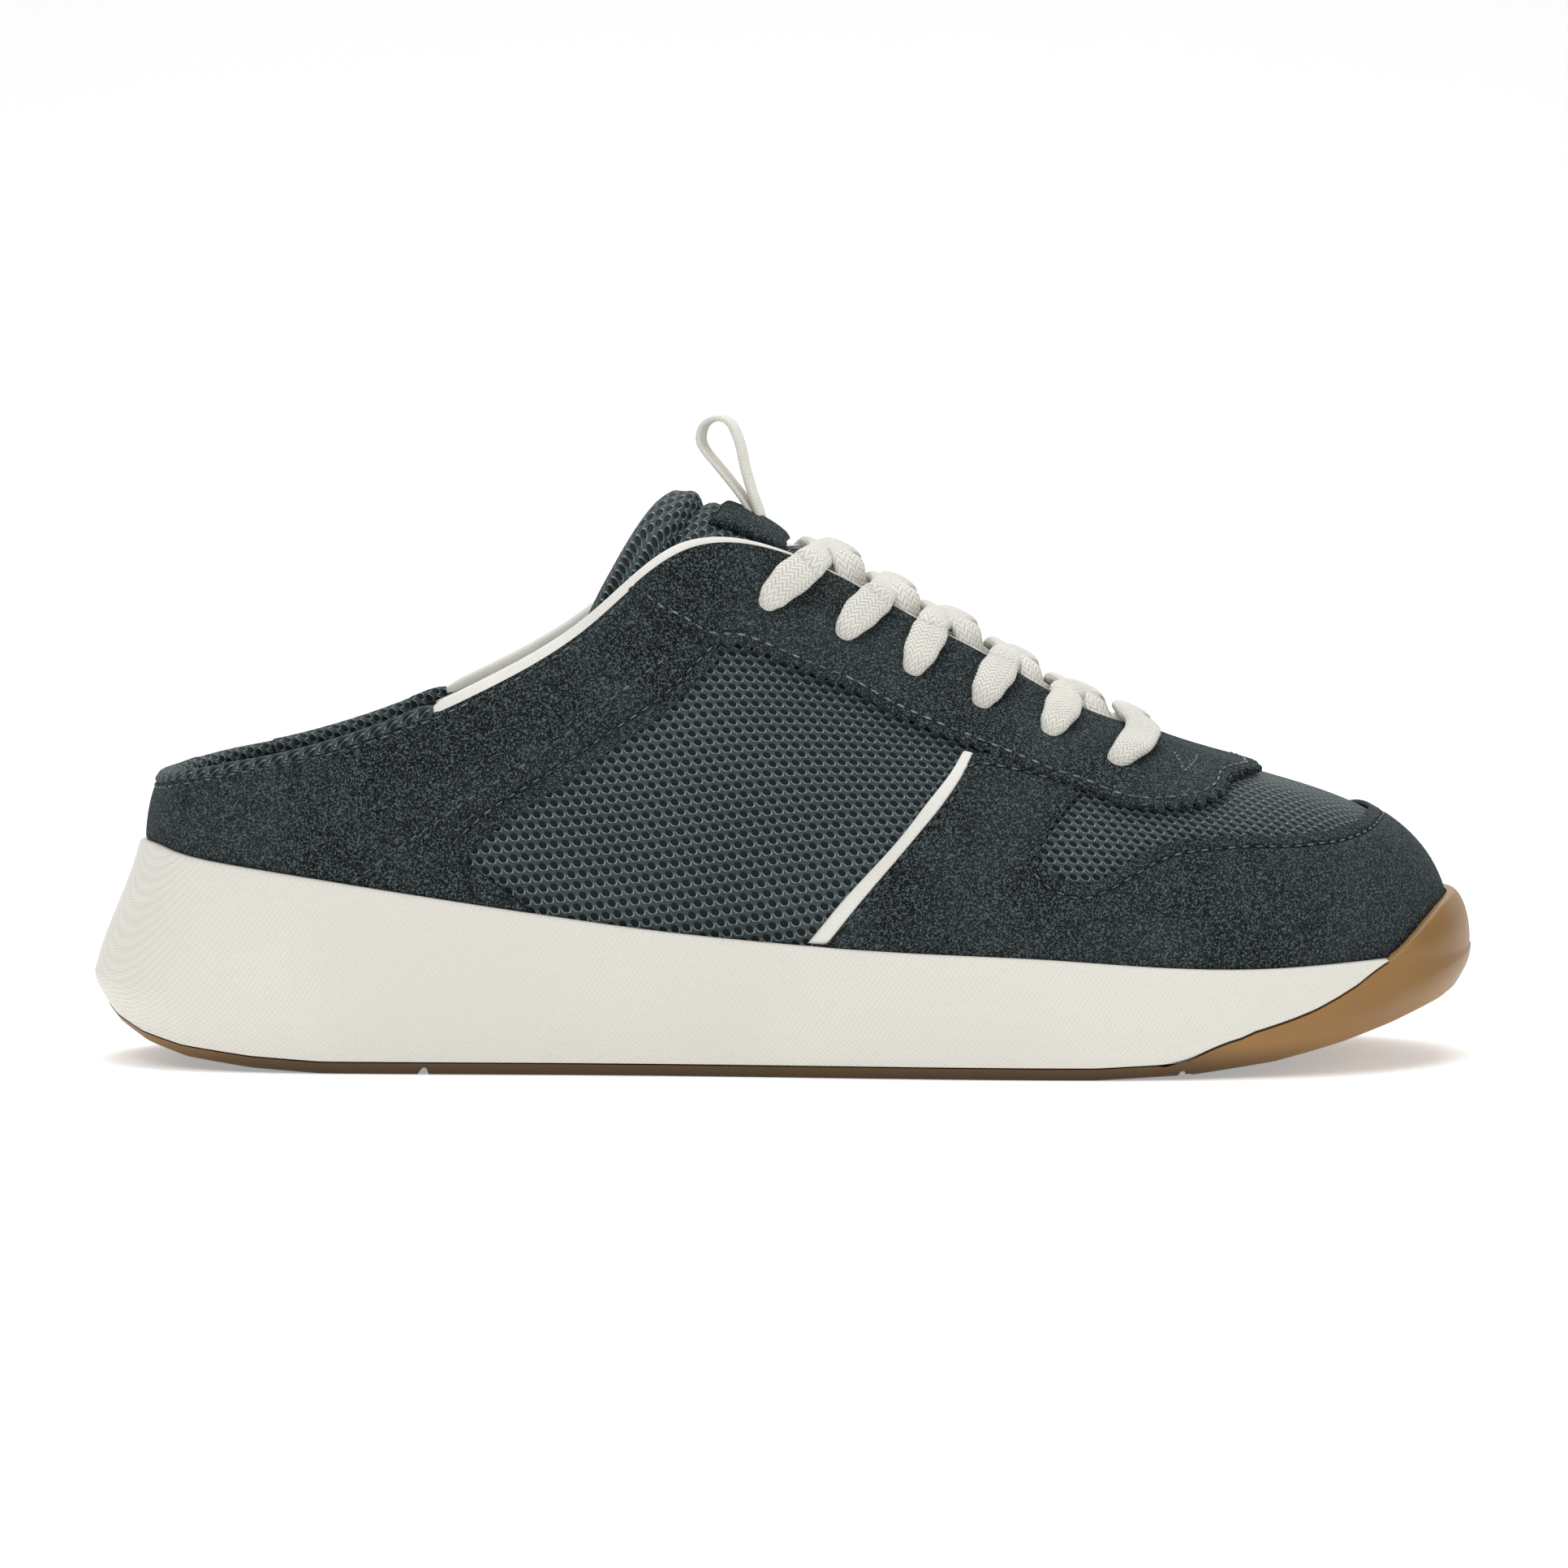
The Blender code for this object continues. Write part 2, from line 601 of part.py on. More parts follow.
def build_linings():
    """The padded linings inside the collar, one on each side."""
    for name, first, last in (
        ("lining_lateral", PADS[0], PADS[1]), ("lining_medial", 1 - PADS[1], 1 - PADS[0]),
    ):
        places = places_between(first, last)
        climbs = (.54, .66, .78, .89, .97)
        outer, inner = [], []
        for j, climb in enumerate(climbs):
            outer.append([UPPER.point(p, climb, -WALL - CLEARANCE) for p in places])
            line = []
            for i, p in enumerate(places):
                swell = math.sin(math.pi * j / (len(climbs) - 1)) * math.sin(math.pi * i / (len(places) - 1))
                depth = 0.25 * PAD_THICKNESS + 0.75 * PAD_THICKNESS * math.sqrt(swell)
                line.append(UPPER.point(p, climb, -WALL - CLEARANCE - depth))
            inner.append(line)
        plate(name, "lining", outer, inner)


def tongue_sections():
    """The tongue's outer surface as sections from its front to its top, with each one's thickness."""
    sections, thickness = [], []
    for place, rise, drop in zip(*(TONGUE_THROAT[key] for key in ("place", "rise", "drop"))):
        sides = [[UPPER.point(p, c, -TONGUE_DROP * drop) for c in (.82, .91, 1.0)] for p in (place, 1 - place)]
        left, right = sides[0][-1], sides[1][-1]
        arch = []
        for f in (.25, .5, .75):
            arch.append(left + (right - left) * f + np.array([0, 0, 4 * f * (1 - f) * rise]))
        sections.append(sides[0] + arch + sides[1][::-1])
        thickness.append(TONGUE_THICKNESS)
    table = TONGUE_TOP
    for i in range(len(table["thickness"])):
        centre = np.array([LENGTH * (table["centre_along"][i] - .5), 0, COLLAR_HEIGHT * table["centre_height"][i]])
        side = np.array([LENGTH * (table["side_along"][i] - .5), 0, COLLAR_HEIGHT * table["side_height"][i]])
        half = HALF_WIDTH * table["side_width"][i]
        section = []
        for angle in (-90, -68, -46, -23, 0, 23, 46, 68, 90):
            turn = math.radians(angle)
            p = centre + (side - centre) * (1 - math.cos(turn)) ** 0.9
            section.append(np.array([p[0], half * math.sin(turn), p[2]]))
        sections.append(section)
        thickness.append(TONGUE_ROLL_THICKNESS * table["thickness"][i])
    return sections, thickness


def surface_normals(sections):
    """Upward unit normals of a grid of points."""
    grid = np.array(sections)
    along = np.gradient(grid, axis=0)
    across = np.gradient(grid, axis=1)
    out = np.cross(along, across)
    length = np.linalg.norm(out, axis=2, keepdims=True)
    out = np.where(length > 1e-12, out / np.maximum(length, 1e-12), np.array([0, 0, 1.0]))
    flip = np.where(out[..., 2:3] < 0, -1.0, 1.0)
    return out * flip


def build_tongue():
    """The padded tongue: a saddle under the throat that ends above it in a thick roll."""
    sections, thickness = tongue_sections()
    normals = surface_normals(sections)
    normals[0] = UPPER.normal(.5, .95)
    outer = [list(row) for row in sections]
    inner = [[p - n * t for p, n in zip(row, line)] for row, line, t in zip(sections, normals, thickness)]
    count = len(outer[0])
    end = []
    for a, b, before in zip(outer[-1], inner[-1], outer[-2]):
        end.append((a + b) / 2 + unit(a - before) * thickness[-1] * 0.35)
    rows = outer + [end] + inner[::-1]
    points = [p for row in rows for p in row]
    faces = grid_faces(rows, closed=False)
    last = len(rows) - 1
    for side in (0, count - 1):
        for i in range(len(outer) - 1):
            a, b = i * count + side, (i + 1) * count + side
            c, d = (last - i - 1) * count + side, (last - i) * count + side
            faces.append((a, b, c, d))
        k = len(outer) - 1
        faces.append((k * count + side, (k + 1) * count + side, (k + 2) * count + side))
    return add_mesh("tongue", "mesh", points, faces)


def build_tongue_patch():
    """The suede patch on the tongue's top."""
    sections, _ = tongue_sections()
    grids = np.array(sections), surface_normals(sections)
    middle = len(sections[0]) // 2
    outer, inner = [], []
    for row in (8.8, 9.4, 10.0, 10.5):
        line = []
        for across in (-.6, -.3, 0, .3, .6):
            pair = []
            for grid in grids:
                low, side = int(row), middle + (1 if across > 0 else -1)
                f, g = row - low, abs(across)
                ends = [grid[r][middle] * (1 - g) + grid[r][side] * g for r in (low, low + 1)]
                pair.append(ends[0] * (1 - f) + ends[1] * f)
            line.append((pair[0], unit(pair[1])))
        outer.append([p + n * (4 * CLEARANCE + OVERLAY_THICKNESS) for p, n in line])
        inner.append([p + n * 4 * CLEARANCE for p, n in line])
    return plate("tongue_patch", "suede", outer, inner)


def build_pull_loop():
    """The ribbon loop that stands on the tongue's patch."""
    sections, _ = tongue_sections()
    middle = len(sections[0]) // 2
    base = 0.62 * sections[10][middle] + 0.38 * sections[9][middle]
    base = base + np.array([0, 0, 5 * CLEARANCE + 1.3 * OVERLAY_THICKNESS + LOOP_THICKNESS])
    path = [base + LOOP_HEIGHT * np.array([x, 0, z]) for x, z in LOOP_OUTLINE]
    count = len(path)
    made = []
    for i, p in enumerate(path):
        a, b = path[i - 1], path[(i + 1) % count]
        tangent = unit(b - a)
        side = np.array([tangent[2], 0, -tangent[0]]) * LOOP_THICKNESS / 2
        wide = np.array([0, LOOP_WIDTH / 2, 0])
        made.append([p + side + wide, p - side + wide, p - side - wide, p + side - wide])
    return sweep("pull_loop", "cotton", made, joined=True)


def strand_place(number):
    """Place on the throat's edge at a share of the way between two strands."""
    return float(np.interp(number, range(len(STRAND_PLACES)), STRAND_PLACES))


def strand_path(number, near, over, bar=False):
    """Centre points and normals of one strand from an eyelet across the throat."""
    turn = (lambda p: p) if near else (lambda p: 1 - p)
    top = 2 * CLEARANCE + OVERLAY_THICKNESS + LACE_THICKNESS / 2

    def climbing(side):
        place, climb = EYELETS[number]
        edge = strand_place(number)
        made = []
        for share, reach, lift in ((0, 0, .0003), (.5, 0, .0009), (1, .0006, .0012)):
            at = side(place + (edge - place) * share)
            up = climb + (1 - climb) * share + reach
            made.append((UPPER.point(at, up, top + lift), UPPER.normal(at, min(up, 1.0))))
        return made

    made = climbing(turn)
    middle = strand_place(number + (0 if bar else .3))
    centre = (UPPER.bare(middle, 1.0) + UPPER.bare(1 - middle, 1.0)) / 2
    centre[2] += over
    made.append((centre, unit(np.array([.5, 0, 1.0]))))
    if bar:
        made += climbing(lambda p: 1 - turn(p))[::-1]
    else:
        far = 1 - turn(strand_place(number + .6))
        made.append((UPPER.point(far, 1.0055, -.0006), UPPER.normal(far, 1.0)))
    return made


def smooth_path(points, steps):
    """Points of a Catmull-Rom curve through the given ones."""
    made = []
    last = len(points) - 1
    for i in range(last):
        a, b, c, d = points[max(i - 1, 0)], points[i], points[i + 1], points[min(i + 2, last)]
        for k in range(steps):
            t = k / steps
            made.append(0.5 * (2 * b + (c - a) * t + (2 * a - 5 * b + 4 * c - d) * t**2 + (3 * b - a - 3 * c + d) * t**3))
    made.append(points[-1])
    return made


def build_strand(name, number, near, over, bar=False):
    """One flat strand of the lace."""
    knots = strand_path(number, near, over, bar)
    path = smooth_path([k[0] for k in knots], 3)
    ups = smooth_path([k[1] for k in knots], 3)
    sections = []
    for i, (p, up) in enumerate(zip(path, ups)):
        tangent = unit(path[min(i + 1, len(path) - 1)] - path[max(i - 1, 0)])
        wide = unit(np.cross(tangent, up))
        up = np.cross(wide, tangent)
        ring = []
        for across, height in ((.5, 0), (.32, .5), (-.32, .5), (-.5, 0), (-.32, -.5), (.32, -.5)):
            ring.append(p + wide * across * LACE_WIDTH + up * height * LACE_THICKNESS)
        sections.append(ring)
    return sweep(name, "cotton", sections)


def build_laces():
    """Five crossings and the bar in front, each one solid."""
    rows = len(EYELETS) - 1
    for i in range(rows):
        crossing = build_strand("lace_crossing_%d" % (i + 1), i, True, .0036)
        other = build_strand("strand_joiner_%d" % (i + 1), i, False, .0021)
        other.hide_render = True
        other.display_type = "WIRE"
        join = crossing.modifiers.new("join", "BOOLEAN")
        join.operation = "UNION"
        join.solver = "EXACT"
        join.object = other
    build_strand("lace_bar", rows, True, .0040, bar=True)


def build_all():
    """Builds every piece under one empty."""
    clear_scene()
    root = bpy.data.objects.new("shoe", None)
    bpy.context.scene.collection.objects.link(root)
    build_outsole()
    build_midsole()
    build_insole()
    build_upper()
    build_layers()
    build_collar_binding()
    build_linings()
    build_tongue()
    build_tongue_patch()
    build_pull_loop()
    build_laces()


if __name__ == "__main__":
    build_all()
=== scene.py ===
"""Looks of a backless lace-up-look sneaker for the right foot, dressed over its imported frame.

The toe points along +X, the outer side of the foot is -Y and +Z is up. The shoe's surface is
described by a place round it (0 heel, 0.5 toe along the outer side, 1 heel again) and a climb
up the wall (-1 cup floor, 0 rim of the sole, 1 top edge, past 1 in metres).
"""

import logging
import math
from dataclasses import dataclass
from enum import Enum
from typing import Callable, Optional, Sequence

import bmesh
import bpy
import numpy as np
from mathutils import Matrix, Vector

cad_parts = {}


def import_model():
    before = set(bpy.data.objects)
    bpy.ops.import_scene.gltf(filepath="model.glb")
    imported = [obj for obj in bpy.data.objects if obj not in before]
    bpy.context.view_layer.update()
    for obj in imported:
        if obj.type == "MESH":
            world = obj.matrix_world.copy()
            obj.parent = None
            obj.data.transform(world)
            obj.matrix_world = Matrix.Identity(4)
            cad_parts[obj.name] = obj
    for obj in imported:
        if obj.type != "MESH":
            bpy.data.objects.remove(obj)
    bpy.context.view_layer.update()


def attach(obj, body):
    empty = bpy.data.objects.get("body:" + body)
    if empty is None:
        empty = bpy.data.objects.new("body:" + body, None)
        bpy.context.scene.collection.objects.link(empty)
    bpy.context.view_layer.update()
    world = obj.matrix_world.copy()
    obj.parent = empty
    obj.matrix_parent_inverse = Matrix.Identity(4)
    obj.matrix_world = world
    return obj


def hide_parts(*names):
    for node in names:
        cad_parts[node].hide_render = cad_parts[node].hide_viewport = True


log = logging.getLogger("shoe")
Array = np.ndarray
BMesh = bmesh.types.BMesh
Material, Object = bpy.types.Material, bpy.types.Object
Node, Socket, Tree = bpy.types.Node, bpy.types.NodeSocket, bpy.types.NodeTree

# Measures in metres: the sole's length, half its width, its rim's height and the collar's; the wall,
# the gap between parts and a layer of suede; the rubber under the foam and over the toe.
LENGTH, HALF_WIDTH, RIM, COLLAR = 0.300, 0.054, 0.0475, 0.1123
WALL, GAP, LAYER = 0.0020, 0.0003, 0.0011
OUTSOLE, BUMPER, BUMPER_LIP, TUCK = 0.0024, 0.0022, 0.0011, 0.0022
# The way round the shoe and up its wall, by which the creases are measured.
GIRTH, WALL_HEIGHT = 0.72, 0.075
# Share of the sole's side at which it is widest.
WIDE_SHARE = 0.35
# Distance within which points are one, and length under which an edge is nothing.
MERGE, SLIVER = 2e-6, 1e-7
# How far the eyestay lies over the other suede, and the seams' distances from their borders.
STAY_LIFT = 0.0007
EDGE_SEAM, FOLD_SEAM, STAY_SEAM = 0.0016, 0.0033, 0.0026

SOLE = {
    "along": (0, .021, .064, .130, .215, .310, .403, .497, .590, .680, .762, .838, .904, .957, .989, 1.0),
    "lateral": (0, .375, .595, .705, .755, .780, .818, .880, .948, .995, .990, .915, .765, .520, .225, -.140),
    "medial": (0, .375, .585, .685, .715, .680, .650, .670, .765, .885, .970, .995, .925, .765, .505, .140),
    "rim_height": (1.0, .998, .958, .900, .820, .730, .650, .595, .560, .538, .503, .487, .500, .510, .518, .526),
    "rim_inset": (.185, .165, .120, .100, .090, .080, .070, .060, .050, .045, .040, .035, .030, .015, .006, .005),
    "wide_height": (.400, .380, .330, .280, .240, .210, .190, .175, .165, .160, .165, .200, .290, .400, .480, .520),
    "edge_inset": (.055, .050, .035, .022, .018, .016, .015, .015, .015, .015, .018, .025, .035, .045, .050, .055),
    "lip": (.050, .048, .045, .044, .044, .044, .044, .044, .044, .044, .046, .052, .066, .085, .098, .102),
}
TOP = {
    "along": (.051, .059, .088, .138, .210, .285, .362, .432, .512, .582, .645, .696, .735, .758, .770, .774),
    "lateral": (0, .300, .500, .605, .640, .645, .625, .560, .420, .350, .310, .270, .225, .165, .080, -.020),
    "medial": (0, .300, .500, .605, .640, .645, .625, .560, .430, .370, .335, .300, .260, .200, .115, .020),
    "height": (.536, .538, .558, .583, .640, .728, .852, .992, .962, .862, .770, .690, .645, .624, .607, .599),
    "lean": (2, 3, 4, 5, 7, 8, 8, 7, 6, 5, 5, 4, 3, 2, 1, 1),
    "slope": (62, 62, 66, 72, 76, 78, 76, 68, 58, 50, 43, 35, 28, 24, 22, 21),
    "rim_handle": (.30, .30, .32, .33, .33, .33, .34, .36, .38, .40, .42, .44, .46, .46, .46, .46),
    "edge_handle": (.25, .25, .28, .30, .30, .30, .30, .30, .30, .30, .31, .32, .32, .32, .32, .32),
}
UNDERSIDE = (
    (0, .020, .040, .070, .120, .170, .250, .500, .720, .790, .850, .900, .940, .975, 1.0),
    (.250, .165, .110, .060, .020, 0, 0, 0, 0, .022, .070, .135, .200, .265, .325),
)
CUP_FLOOR = (
    (0, .100, .215, .310, .403, .500, .600, .700, .800, .880, .940, .980, 1.0),
    (.640, .640, .580, .510, .450, .400, .360, .330, .310, .325, .360, .395, .405),
)
BUMPER_TOP = (
    (.3360, .3435, .3519, .3562, .3646, .3773, .3858, .3942, .4027, .4112, .4180, .4238, .4323, .4408, .4492, .4577,
     .4662, .4788, .5000),
    (0, .080, .250, .320, .400, .460, .510, .590, .695, .865, 1.0, 1.015, 1.0425, 1.065, 1.0825, 1.0975, 1.106, 1.1125,
     1.113),
)

# Borders of the suede, as pairs of points: (place, climb) below and (place, climb) above.
QUARTER_PAIRS = (
    (0, 0, 0, 1), (.030, 0, .020, 1), (.060, 0, .040, 1), (.090, 0, .058, 1), (.120, 0, .072, 1),
    (.145, 0, .082, 1), (.1697, .004, .090, 1), (.1601, .051, .096, 1), (.1553, .129, .104, 1),
    (.1548, .223, .114, 1), (.1573, .287, .126, 1), (.1671, .411, .150, 1), (.1826, .513, .176, 1),
    (.1985, .584, .1990, 1), (.2145, .619, .2165, .995), (.2233, .652, .2240, .900),
    (.2330, .700, .2345, .800),
)
MUDGUARD_PAIRS = (
    (.2440, 0, .2444, .006), (.2465, 0, .2546, .111), (.2500, 0, .2698, .249),
    (.2545, 0, .2809, .347), (.2600, 0, .2906, .440), (.2640, 0, .2985, .525),
    (.2672, 0, .3160, .535), (.2690, 0, .3320, .510), (.2705, 0, .3251, .447),
    (.2760, 0, .3131, .348), (.2850, 0, .3043, .252), (.2930, 0, .3058, .211),
    (.3000, 0, .3100, .190), (.3070, 0, .3176, .186), (.3250, 0, .3283, .238),
    (.3400, 0, .3413, .305), (.3542, 0, .3542, .347), (.3726, 0, .3726, .368),
    (.3945, 0, .3945, .361), (.4146, 0, .4146, .363), (.4355, 0, .4355, .385),
    (.4700, 0, .4700, .424), (.5000, 0, .5000, .430),
)
SEAM_PAIRS = (
    (.1237, .006), (.1319, .182), (.1422, .346), (.1556, .503), (.1719, .611), (.1930, .708),
    (.2081, .741), (.2222, .756),
)
TIP_PAIRS = ((.4007, .785), (.3831, .640), (.4194, .794))
EYESTAY_PAIRS = (
    (.2128, .998, .2129, 1), (.2158, .949, .2165, 1), (.2208, .859, .2220, 1),
    (.2262, .802, .2270, 1), (.2326, .734, .2330, 1), (.2411, .713, .2411, 1),
    (.2500, .676, .2500, 1), (.2575, .649, .2575, 1), (.2682, .624, .2682, 1),
    (.2785, .584, .2785, 1), (.2895, .557, .2895, 1), (.3000, .539, .3000, 1),
    (.3083, .522, .3083, 1), (.3168, .503, .3168, 1), (.3225, .487, .3225, 1),
    (.3317, .474, .3317, 1), (.3402, .446, .3402, 1), (.3506, .444, .3506, 1),
    (.3640, .469, .3640, 1), (.3785, .505, .3785, 1), (.3913, .553, .3940, 1),
    (.4112, .643, .4250, 1), (.4500, .705, .4600, 1), (.5000, .740, .5000, 1),
)
STRIPE_PAIRS = (
    (.2395, .006, .2444, .006), (.2497, .111, .2546, .111), (.2658, .249, .2698, .249),
    (.2764, .347, .2809, .347), (.2868, .440, .2906, .440), (.2953, .525, .2985, .525),
)
EYELETS = ((.2525, .848), (.2736, .816), (.2934, .779), (.3148, .748), (.3375, .725), (.3600, .671))
STRAND_PLACES = (.2695, .2920, .3110, .3385, .3680, .4180)


def unit(vector: Array) -> Array:
    """Unit vectors along the last axis."""
    return vector / np.maximum(np.linalg.norm(vector, axis=-1, keepdims=True), 1e-12)


def smooth_curve(knots: Array, steps: int) -> Array:
    """Points of a Catmull-Rom curve.

    Args:
        knots: Control points, one a row.
        steps: Points from one knot to the next.

    Returns:
        The points in order, the last knot included.
    """
    knots = np.asarray(knots, float)
    padded = np.concatenate([2 * knots[:1] - knots[1:2], knots, 2 * knots[-1:] - knots[-2:-1]])
    t = np.arange(steps)[:, None] / steps
    made = []
    for a, b, c, d in zip(padded, padded[1:], padded[2:], padded[3:]):
        square, cube = 2 * a - 5 * b + 4 * c - d, 3 * b - a - 3 * c + d
        made.append(0.5 * (2 * b + (c - a) * t + square * t**2 + cube * t**3))
    return np.concatenate(made + [knots[-1:]])


def along(points: Array) -> Array:
    """Distance along a line of points, from its first."""
    return np.concatenate([[0.0], np.cumsum(np.linalg.norm(np.diff(points, axis=0), axis=-1))])


def at_distances(values: Array, distance: Array, wanted: Array) -> Array:
    """Rows of values read at the wanted distances."""
    return np.stack([np.interp(wanted, distance, column) for column in values.T], axis=-1)


def side_place(place: Array) -> Array:
    """The same place counted from the heel on either side, 0 to 0.5."""
    return np.minimum(place % 1.0, 1 - place % 1.0)


def mirrored(line: Array) -> Array:
    """A line of (place, climb), or of pairs of them, on the other side of the shoe."""
    made = np.array(line, float)
    made[:, ::2] = 1 - made[:, ::2]
    return made


def from_ends(count: int) -> Array:
    """Steps from the nearer end of a row."""
    return np.minimum(np.arange(count), np.arange(count)[::-1])


def rounded(share: Array, least: float = 0.0) -> Array:
    """A quarter circle's height over the share of its radius, at least the root of least."""
    return np.sqrt(np.clip(1 - (1 - np.minimum(share, 1)) ** 2, least, 1))


def saw(at: Array) -> Array:
    """A saw edge that runs 1, 0, 1 over each whole step."""
    return np.abs((at % 1.0) * 2 - 1)


class Ring:
    """A smooth closed curve of numbers through the stations of both sides."""

    def __init__(self, lateral: Sequence[float], medial: Optional[Sequence[float]] = None) -> None:
        """Works out the curve's weights.

        Args:
            lateral: Values from the heel to the toe along the outer side.
            medial: Values along the inner side, the same as lateral if left out.
        """
        medial = lateral if medial is None else medial
        knots = np.array(list(lateral) + list(medial)[-2:0:-1], float)
        self.count = len(knots)
        eye = np.eye(self.count)
        system = (4 * eye + np.roll(eye, 1, axis=1) + np.roll(eye, -1, axis=1)) / 6
        self.weights = np.linalg.solve(system, knots)

    def __call__(self, place: Array) -> Array:
        """Values at places round the shoe."""
        at = (np.asarray(place, float) % 1.0) * self.count
        first = np.floor(at).astype(int)
        f = at - first
        parts = ((1 - f) ** 3, 3 * f**3 - 6 * f**2 + 4, -3 * f**3 + 3 * f**2 + 3 * f + 1, f**3)
        return sum(b / 6 * self.weights[(first + k - 1) % self.count] for k, b in enumerate(parts))


class Last:
    """The shoe's form: the side of the sole and the outer face of the upper."""

    def __init__(self) -> None:
        """Makes the rings of both tables."""
        self.sole, self.top = self.rings(SOLE), self.rings(TOP)

    @staticmethod
    def rings(table: dict[str, Sequence[float]]) -> dict[str, Ring]:
        """The rings of one table, its two sides joined to one."""
        made = {name: Ring(values) for name, values in table.items() if name not in ("lateral", "medial")}
        made["side"] = Ring([-v for v in table["lateral"]], table["medial"])
        return made

    def underside(self, x: Array) -> Array:
        """Height of the sole's underside at x."""
        return RIM * np.interp(x / LENGTH + 0.5, *UNDERSIDE)

    def cup_floor(self, x: Array) -> Array:
        """Height of the floor that the foot bed lies on."""
        return RIM * np.interp(x / LENGTH + 0.5, *CUP_FLOOR)

    def outline(self, place: Array) -> tuple[Array, Array]:
        """The sole's widest outline in plan.

        Args:
            place: Places round the shoe.

        Returns:
            The points and the unit directions inwards.
        """
        def at(p: Array) -> Array:
            """Points of the outline."""
            x, y = LENGTH * (self.sole["along"](p) - 0.5), HALF_WIDTH * self.sole["side"](p)
            return np.stack([x, y], axis=-1)

        tangent = unit(at(place + 1e-3) - at(place - 1e-3))
        return at(place), np.stack([-tangent[..., 1], tangent[..., 0]], axis=-1)

    def sole_side(self, place: Array, climb: Array, extra: Array = 0.0) -> Array:
        """Points of the sole's side.

        Args:
            place: Places round the shoe.
            climb: 0 at the bottom edge, 1 at the rim.
            extra: How far the points are moved inwards.

        Returns:
            The points.
        """
        place, climb, extra = np.broadcast_arrays(np.asarray(place, float), climb, extra)
        wide, inwards = self.outline(place)
        edge = wide + inwards * (HALF_WIDTH * self.sole["edge_inset"](place))[..., None]
        rim = wide + inwards * (HALF_WIDTH * self.sole["rim_inset"](place))[..., None]
        edge_z = self.underside(edge[..., 0]) + OUTSOLE + GAP
        wide_z, rim_z = RIM * self.sole["wide_height"](place), RIM * self.sole["rim_height"](place)
        f = np.minimum(climb / WIDE_SHARE, 1.0)
        g = np.maximum((climb - WIDE_SHARE) / (1 - WIDE_SHARE), 0.0)
        flat = edge + (wide - edge) * np.sin(f * np.pi / 2)[..., None]
        flat = flat + (rim - wide) * (g * g * (3 - 2 * g) * 0.4 + g * 0.6)[..., None]
        height = edge_z + (wide_z - edge_z) * f + (rim_z - wide_z) * g
        return np.concatenate([flat + inwards * extra[..., None], height[..., None]], axis=-1)

    def columns(self, place: Array) -> tuple[tuple[Array, ...], Array]:
        """The control points of the wall's columns.

        Args:
            place: Places round the shoe.

        Returns:
            The four control points of each column, and the directions inwards at its foot.
        """
        foot = self.sole_side(place, 1.0, HALF_WIDTH * self.sole["lip"](place))
        inwards = self.outline(place)[1]
        top = np.stack([
            LENGTH * (self.top["along"](place) - 0.5),
            HALF_WIDTH * self.top["side"](place),
            COLLAR * self.top["height"](place),
        ], axis=-1)
        span = np.linalg.norm(top - foot, axis=-1, keepdims=True)
        lean, slope = np.radians(self.top["lean"](place)), np.radians(self.top["slope"](place))
        spread = foot[..., :2] - top[..., :2]
        reach = np.linalg.norm(spread, axis=-1, keepdims=True)
        apart = spread / np.maximum(reach, 1e-9) - 0.5 * inwards
        away = unit(np.where(reach < 0.004, -inwards, apart))
        rise = np.concatenate([-inwards * np.sin(lean)[..., None], np.cos(lean)[..., None]], axis=-1)
        fall = np.concatenate([away * np.cos(slope)[..., None], -np.sin(slope)[..., None]], axis=-1)
        low = foot + rise * span * self.top["rim_handle"](place)[..., None]
        high = top + fall * span * self.top["edge_handle"](place)[..., None]
        return (foot, low, high, top), inwards

    def bare(self, place: Array, climb: Array) -> Array:
        """Points of the upper's outer face."""
        place, climb = np.broadcast_arrays(np.asarray(place, float), np.asarray(climb, float))
        (a, b, c, d), inwards = self.columns(place)
        t = np.clip(climb, 0, 1)[..., None]
        s = 1 - t
        made = s**3 * a + 3 * s * s * t * b + 3 * s * t * t * c + t**3 * d
        sunk = np.maximum(-climb, 0.0)
        drop = sunk * (a[..., 2] - self.cup_floor(a[..., 0]) - GAP)
        made = made + np.concatenate([inwards * (TUCK * sunk)[..., None], -drop[..., None]], axis=-1)
        return made + unit(d - c) * np.maximum(climb - 1, 0.0)[..., None]

    def normal(self, place: Array, climb: Array) -> Array:
        """Outward unit normals of the upper's outer face."""
        place, climb = np.broadcast_arrays(np.asarray(place, float), np.asarray(climb, float))
        step = 2e-3
        low, high = climb - step, climb + step
        high = np.where((climb > 1 - step) & (climb <= 1), climb, high)
        low = np.where((climb >= 0) & (climb <= step), climb, low)
        high = np.where((climb < 0) & (high > 0), 0.0, high)
        up = self.bare(place, high) - self.bare(place, low)
        round_ = self.bare(place + step, climb) - self.bare(place - step, climb)
        return unit(np.cross(round_, up))

    def point(self, place: Array, climb: Array, offset: Array = 0.0) -> Array:
        """Points of the upper's face, moved outwards by offset."""
        offset = np.asarray(offset, float)
        return self.bare(place, climb) + offset[..., None] * self.normal(place, climb)

    def bumper(self, place: Array) -> tuple[Array, Array]:
        """How high the toe bumper climbs, and how far the foam behind it steps in."""
        top = np.interp(side_place(place), *BUMPER_TOP)
        return top, BUMPER * np.minimum(top / 0.18, 1.0)


LAST = Last()


class Finish(Enum):
    """The record's finishes."""

    SUEDE = "suede"
    MESH = "mesh"
    FOAM = "foam"
    GUM = "gum"
    COTTON = "cotton"
    LINING = "lining"


